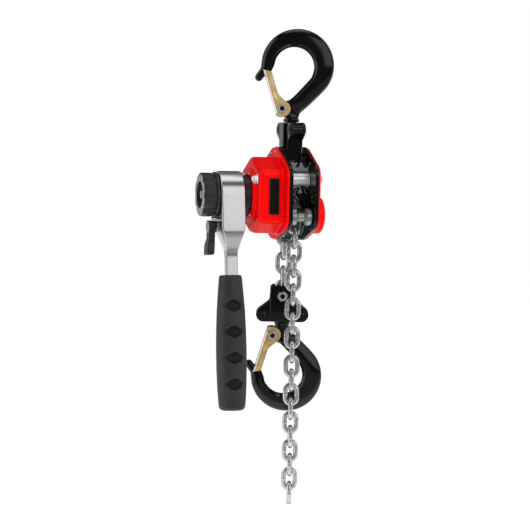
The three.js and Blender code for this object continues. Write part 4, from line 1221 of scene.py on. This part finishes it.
def grip_place(height, angle):
    """The plain radius there, the distance round from the middle of the front, and whether it is in front."""
    heights, radii = zip(*GRIP_PROFILE[::-1])
    radius = float(np.interp(height, heights, radii))
    front = (angle + math.pi / 2 + math.pi) % (2 * math.pi) - math.pi
    return radius, front * radius, abs(front) < math.pi / 2


def dent_room(height, across):
    """1 in the middle of a finger dent, 0 on its rim and less outside."""
    along = min(abs(height - centre) for centre in GRIP_DENTS)
    return 1 - abs(across) / DENT_HALF_WIDTH - (along / DENT_HALF_HEIGHT) ** 2


def in_dent(point):
    angle = math.atan2(point.y - GRIP_Y, point.x - LEVER_X)
    _, across, facing = grip_place(point.z, angle)
    return facing and dent_room(point.z, across) > 0.15


def grip_radius(height, angle):
    """The grip's radius there: a raised front band and four finger dents."""
    radius, across, facing = grip_place(height, angle)
    inner = 1 / (1 + math.exp(-(height - GRIP_END - 6) / 1.5)) / (1 + math.exp((height - GRIP_TOP + 8) / 1.5))
    radius += 0.35 * facing * inner / (1 + math.exp((abs(across) - 4.9) / 0.22))
    room = dent_room(height, across)
    if facing and room > 0:
        radius -= DENT_DEPTH * math.sin(min(1.0, room * 1.35) * math.pi / 2) ** 1.2
    return radius


def make_grip():
    fine = np.arange(GRIP_TOP - 3, GRIP_END + 4, -0.9)
    heights = [GRIP_TOP, GRIP_TOP - 0.3, GRIP_TOP - 0.8, GRIP_TOP - 1.6, *fine]
    heights += [-175.5, -176.4, -177.2, -177.8, -178.2, GRIP_END]
    angles = [2 * math.pi * k / 112 for k in range(112)]
    loops = []
    for radius, height in ((5.7, GRIP_TOP - 1.2), (6.4, GRIP_TOP - 0.3)):
        loops.append([(LEVER_X + radius * math.cos(a), GRIP_Y - 3.4 + (radius - 2.2) * math.sin(a), height)
                      for a in angles])
    for height in heights:
        radii = [grip_radius(height, a) for a in angles]
        loops.append([(LEVER_X + r * math.cos(a), GRIP_Y + r * math.sin(a), height)
                      for r, a in zip(radii, angles)])
    grip = make("rubber_grip", placed(loft(loops), LEVER), BLACK_RUBBER, "lever",
                ["grip"], 60.0)
    # painted shade: the finger dents are coloured darker
    recolour(grip, DENT_SHADE_RUBBER, LEVER, in_dent)


def make_selector():
    """The paddle that sets the lever to raise, lower or run free, on a short stub."""
    front = [(5.4, 4.8), (6.4, 1.5), (5.6, -6.5), (5.3, -10), (6.9, -14.5), (7.1, -21), (6, -23.6)]
    line = filleted(front + [(-y, z) for y, z in front[::-1]], 1.6, 4)
    left, right = -70.8, -65.6

    def leaning(p):
        depth = max(0.0, -p.z - 2) / 21.5
        swell = 1.3 * max(0.0, min(1.0, (-p.z - 10) / 4))
        outer = (right - p.x) / (right - left)
        return Vector((p.x - 1.6 * depth - swell * outer * 0.8, p.y, p.z))

    points, faces = slab(line, left, right, 0.9)
    paddle = ([leaning(p) for p in points], faces)
    ribs = []
    for k in range(4):
        z = -2.2 - 2.1 * k
        corners = [(left + 0.7, z - 0.45), (right - 0.6, z - 0.45), (right - 0.6, z + 0.45),
                   (left + 0.7, z + 0.45)]
        ribs.append(slab(filleted(corners, 0.3, 2), -6.5 + 0.09 * k, -5.2, 0.25, "y", 2))
    round_boss = [(0, left - 1.0), (4.4, left - 1.0), (5.2, left - 0.4), (5.2, left + 1), (0, left + 1)]
    boss = lathe(round_boss, steps=48, edge=0.4)
    stub = rod(3.9, right - 1, LEVER_LEFT - 0.9, steps=40)

    def band(low, high, outer):
        return lathe([(3.5, low), (outer, low), (outer, high), (3.5, high)], steps=40, ring=True, edge=0.15)

    bands = [band(x - 0.35, x + 0.35, 4.3) for x in (-65.2, -64.7)]
    seat = LEVER @ Matrix.Translation((0, 0, -SELECTOR_DROP))
    knob = make("selector_paddle", placed(joined(paddle, *ribs, boss, stub, *bands), seat), SELECTOR_PLASTIC,
                "selector", ["selector_knob"], 40.0)
    # painted highlight: the boss's left end face is pale grey
    recolour(knob, END_FACE_HIGHLIGHT, seat, lambda p: p.x < left - 0.3 and math.hypot(p.y, p.z) < 5.3)
    washer = band(LEVER_LEFT - 0.85, LEVER_LEFT - 0.1, 4.9)
    make("selector_washer", placed(washer, seat), ZINC_STEEL, "lever")


make_lever()
make_grip()
make_selector()


# ---------- CAD nodes that stay ----------
KEPT = [
    (BRONZE, "sheave_bush_left", "sheave_bush_right", "drive_bush"),
    (DARK_STEEL, "chain_stripper", "suspension_pin", "load_sheave", "load_gear", "friction_hub",
     "ratchet_disc", "brake_pawl_upper", "brake_pawl_lower", "inner_plate", "change_pawl"),
    (ZINC_STEEL, "drive_shaft", "handwheel_nut", "pawl_pin_upper", "pawl_pin_lower", "detent_plunger"),
    (LINING, "friction_disc_inner", "friction_disc_outer"),
    (SPRING_STEEL, "pawl_spring_upper", "pawl_spring_lower", "detent_spring"),
]
for material, *nodes in KEPT:
    for node in nodes:
        for holder in bpy.data.objects[node].material_slots:
            holder.material = material


# ---------- light and floor ----------
def make_key_light():
    """A soft panel in front, to the right and above, that looks at the hoist's middle."""
    azimuth, elevation, distance = math.radians(34), math.radians(28), 1.6
    data = bpy.data.lights.new("key_panel", "AREA")
    data.shape = "RECTANGLE"
    data.size, data.size_y = 0.5, 0.6
    data.energy = 3.0
    lamp = bpy.data.objects.new("key_panel", data)
    bpy.context.scene.collection.objects.link(lamp)
    back = direction(azimuth, elevation)
    lamp.location = Vector((0, 0, -0.16)) + back * distance
    lamp.rotation_euler = (-back).to_track_quat("-Z", "Y").to_euler()
    lamp.visible_glossy = False


STUDIO_FILL = 0.76
FILL_FRONT = 0.62  # added towards the front, taken away behind
FILL_ABOVE = -0.16
STUDIO_DARK = 0.04
FLOOR_GLOW = 0.27
FLOOR_GLOW_BELOW = 0.9
# azimuth from, to, softness, elevation from, to, softness (degrees, 0 is the front), strength
STUDIO_PANELS = [
    (4, 62, 10, 3, 43, 3, 0.95),
    (-200, 200, 5, 67, 100, 5, 1.15),
    (-122, -72, 6, -40, 50, 6, 1.05),
    (80, 122, 6, -40, 50, 6, 0.8),
    (-178, -150, 6, -12, 30, 6, 0.5),
    (-190, -120, 12, 34, 67, 6, 0.12),
    (120, 190, 12, 34, 67, 6, 0.12),
]


def make_world():
    """White to the eye, an even fill, and a dark studio with soft panels in reflections."""
    world = bpy.data.worlds.new("studio")
    bpy.context.scene.world = world
    world.use_nodes = True
    nodes = Nodes(world.node_tree)
    nodes.tree.nodes.clear()

    def background(strength):
        node = nodes.add("ShaderNodeBackground")
        node.inputs["Color"].default_value = (1, 1, 1, 1)
        if isinstance(strength, float):
            node.inputs["Strength"].default_value = strength
        else:
            nodes.link(strength, node.inputs["Strength"])
        return node.outputs[0]

    def within(value, low, high, soft):
        """1 between two angles in degrees, fading to 0 outside them."""
        smooth = {"interpolation_type": "SMOOTHSTEP"}
        rise = nodes.between(value, low - soft, low + soft, **smooth)
        fall = nodes.between(value, high - soft, high + soft, 1.0, 0.0, **smooth)
        return nodes.maths("MULTIPLY", rise, fall)

    def chosen(share, first, second):
        node = nodes.add("ShaderNodeMixShader")
        for value, entry in zip((share, first, second), node.inputs):
            nodes.link(value, entry)
        return node.outputs[0]

    rays = nodes.add("ShaderNodeLightPath")
    split = nodes.add("ShaderNodeSeparateXYZ")
    nodes.link(nodes.add("ShaderNodeTexCoord").outputs["Generated"], split.inputs[0])
    forward = nodes.maths("MULTIPLY", split.outputs["Y"], -1.0)
    azimuth = nodes.maths("MULTIPLY", nodes.maths("ARCTAN2", split.outputs["X"], forward), math.degrees(1))
    elevation = nodes.maths("MULTIPLY", nodes.maths("ARCSINE", split.outputs["Z"]), math.degrees(1))
    glow = STUDIO_DARK
    for left, right, fade, low, high, soft, strength in STUDIO_PANELS:
        wide, tall = within(azimuth, left, right, fade), within(elevation, low, high, soft)
        panel = nodes.maths("MULTIPLY", wide, tall)
        glow = nodes.maths("ADD", nodes.maths("MULTIPLY", panel, strength), glow)
    front = nodes.maths("MULTIPLY", forward, FILL_FRONT)
    above = nodes.maths("MULTIPLY", split.outputs["Z"], FILL_ABOVE)
    fill = nodes.maths("ADD", nodes.maths("ADD", front, above), STUDIO_FILL)
    lit = chosen(rays.outputs["Is Glossy Ray"], background(fill), background(glow))
    seen = chosen(rays.outputs["Is Camera Ray"], lit, background(1.0))
    nodes.link(seen, nodes.add("ShaderNodeOutputWorld").inputs["Surface"])


def make_floor():
    """White paper that is bright to the eye and darker, towards the front, in reflections."""
    mesh = bpy.data.meshes.new("floor")
    half = 1.6
    corners = [(-half, -half), (half, -half), (half, half), (-half, half)]
    mesh.from_pydata([(x, y, FLOOR_Z * MM) for x, y in corners], [], [(0, 1, 2, 3)])
    floor = bpy.data.objects.new("floor", mesh)
    bpy.context.scene.collection.objects.link(floor)
    nodes = Finish("floor_paper")
    nodes.shader.inputs["Base Color"].default_value = (0, 0, 0, 1)
    nodes.shader.inputs["Specular IOR Level"].default_value = 0.0
    nodes.shader.inputs["Emission Color"].default_value = (1, 1, 1, 1)
    glossy = nodes.add("ShaderNodeLightPath").outputs["Is Glossy Ray"]
    paper = nodes.between(nodes.noise(3.0), 0.3, 0.7, 0.97, 1.03)
    depth = nodes.add("ShaderNodeSeparateXYZ")
    nodes.link(nodes.place, depth.inputs[0])
    shade = nodes.between(depth.outputs["Y"], -0.32, -0.12, FLOOR_GLOW, FLOOR_GLOW_BELOW)
    glow = nodes.add("ShaderNodeMix")
    nodes.link(glossy, glow.inputs["Factor"])
    glow.inputs["A"].default_value = 1.05
    nodes.link(shade, glow.inputs["B"])
    glow = nodes.maths("MULTIPLY", glow.outputs["Result"], paper)
    nodes.link(glow, nodes.shader.inputs["Emission Strength"])
    mesh.materials.append(nodes.material)


make_world()
make_floor()
make_key_light()

bpy.context.scene.view_settings.view_transform = "Standard"
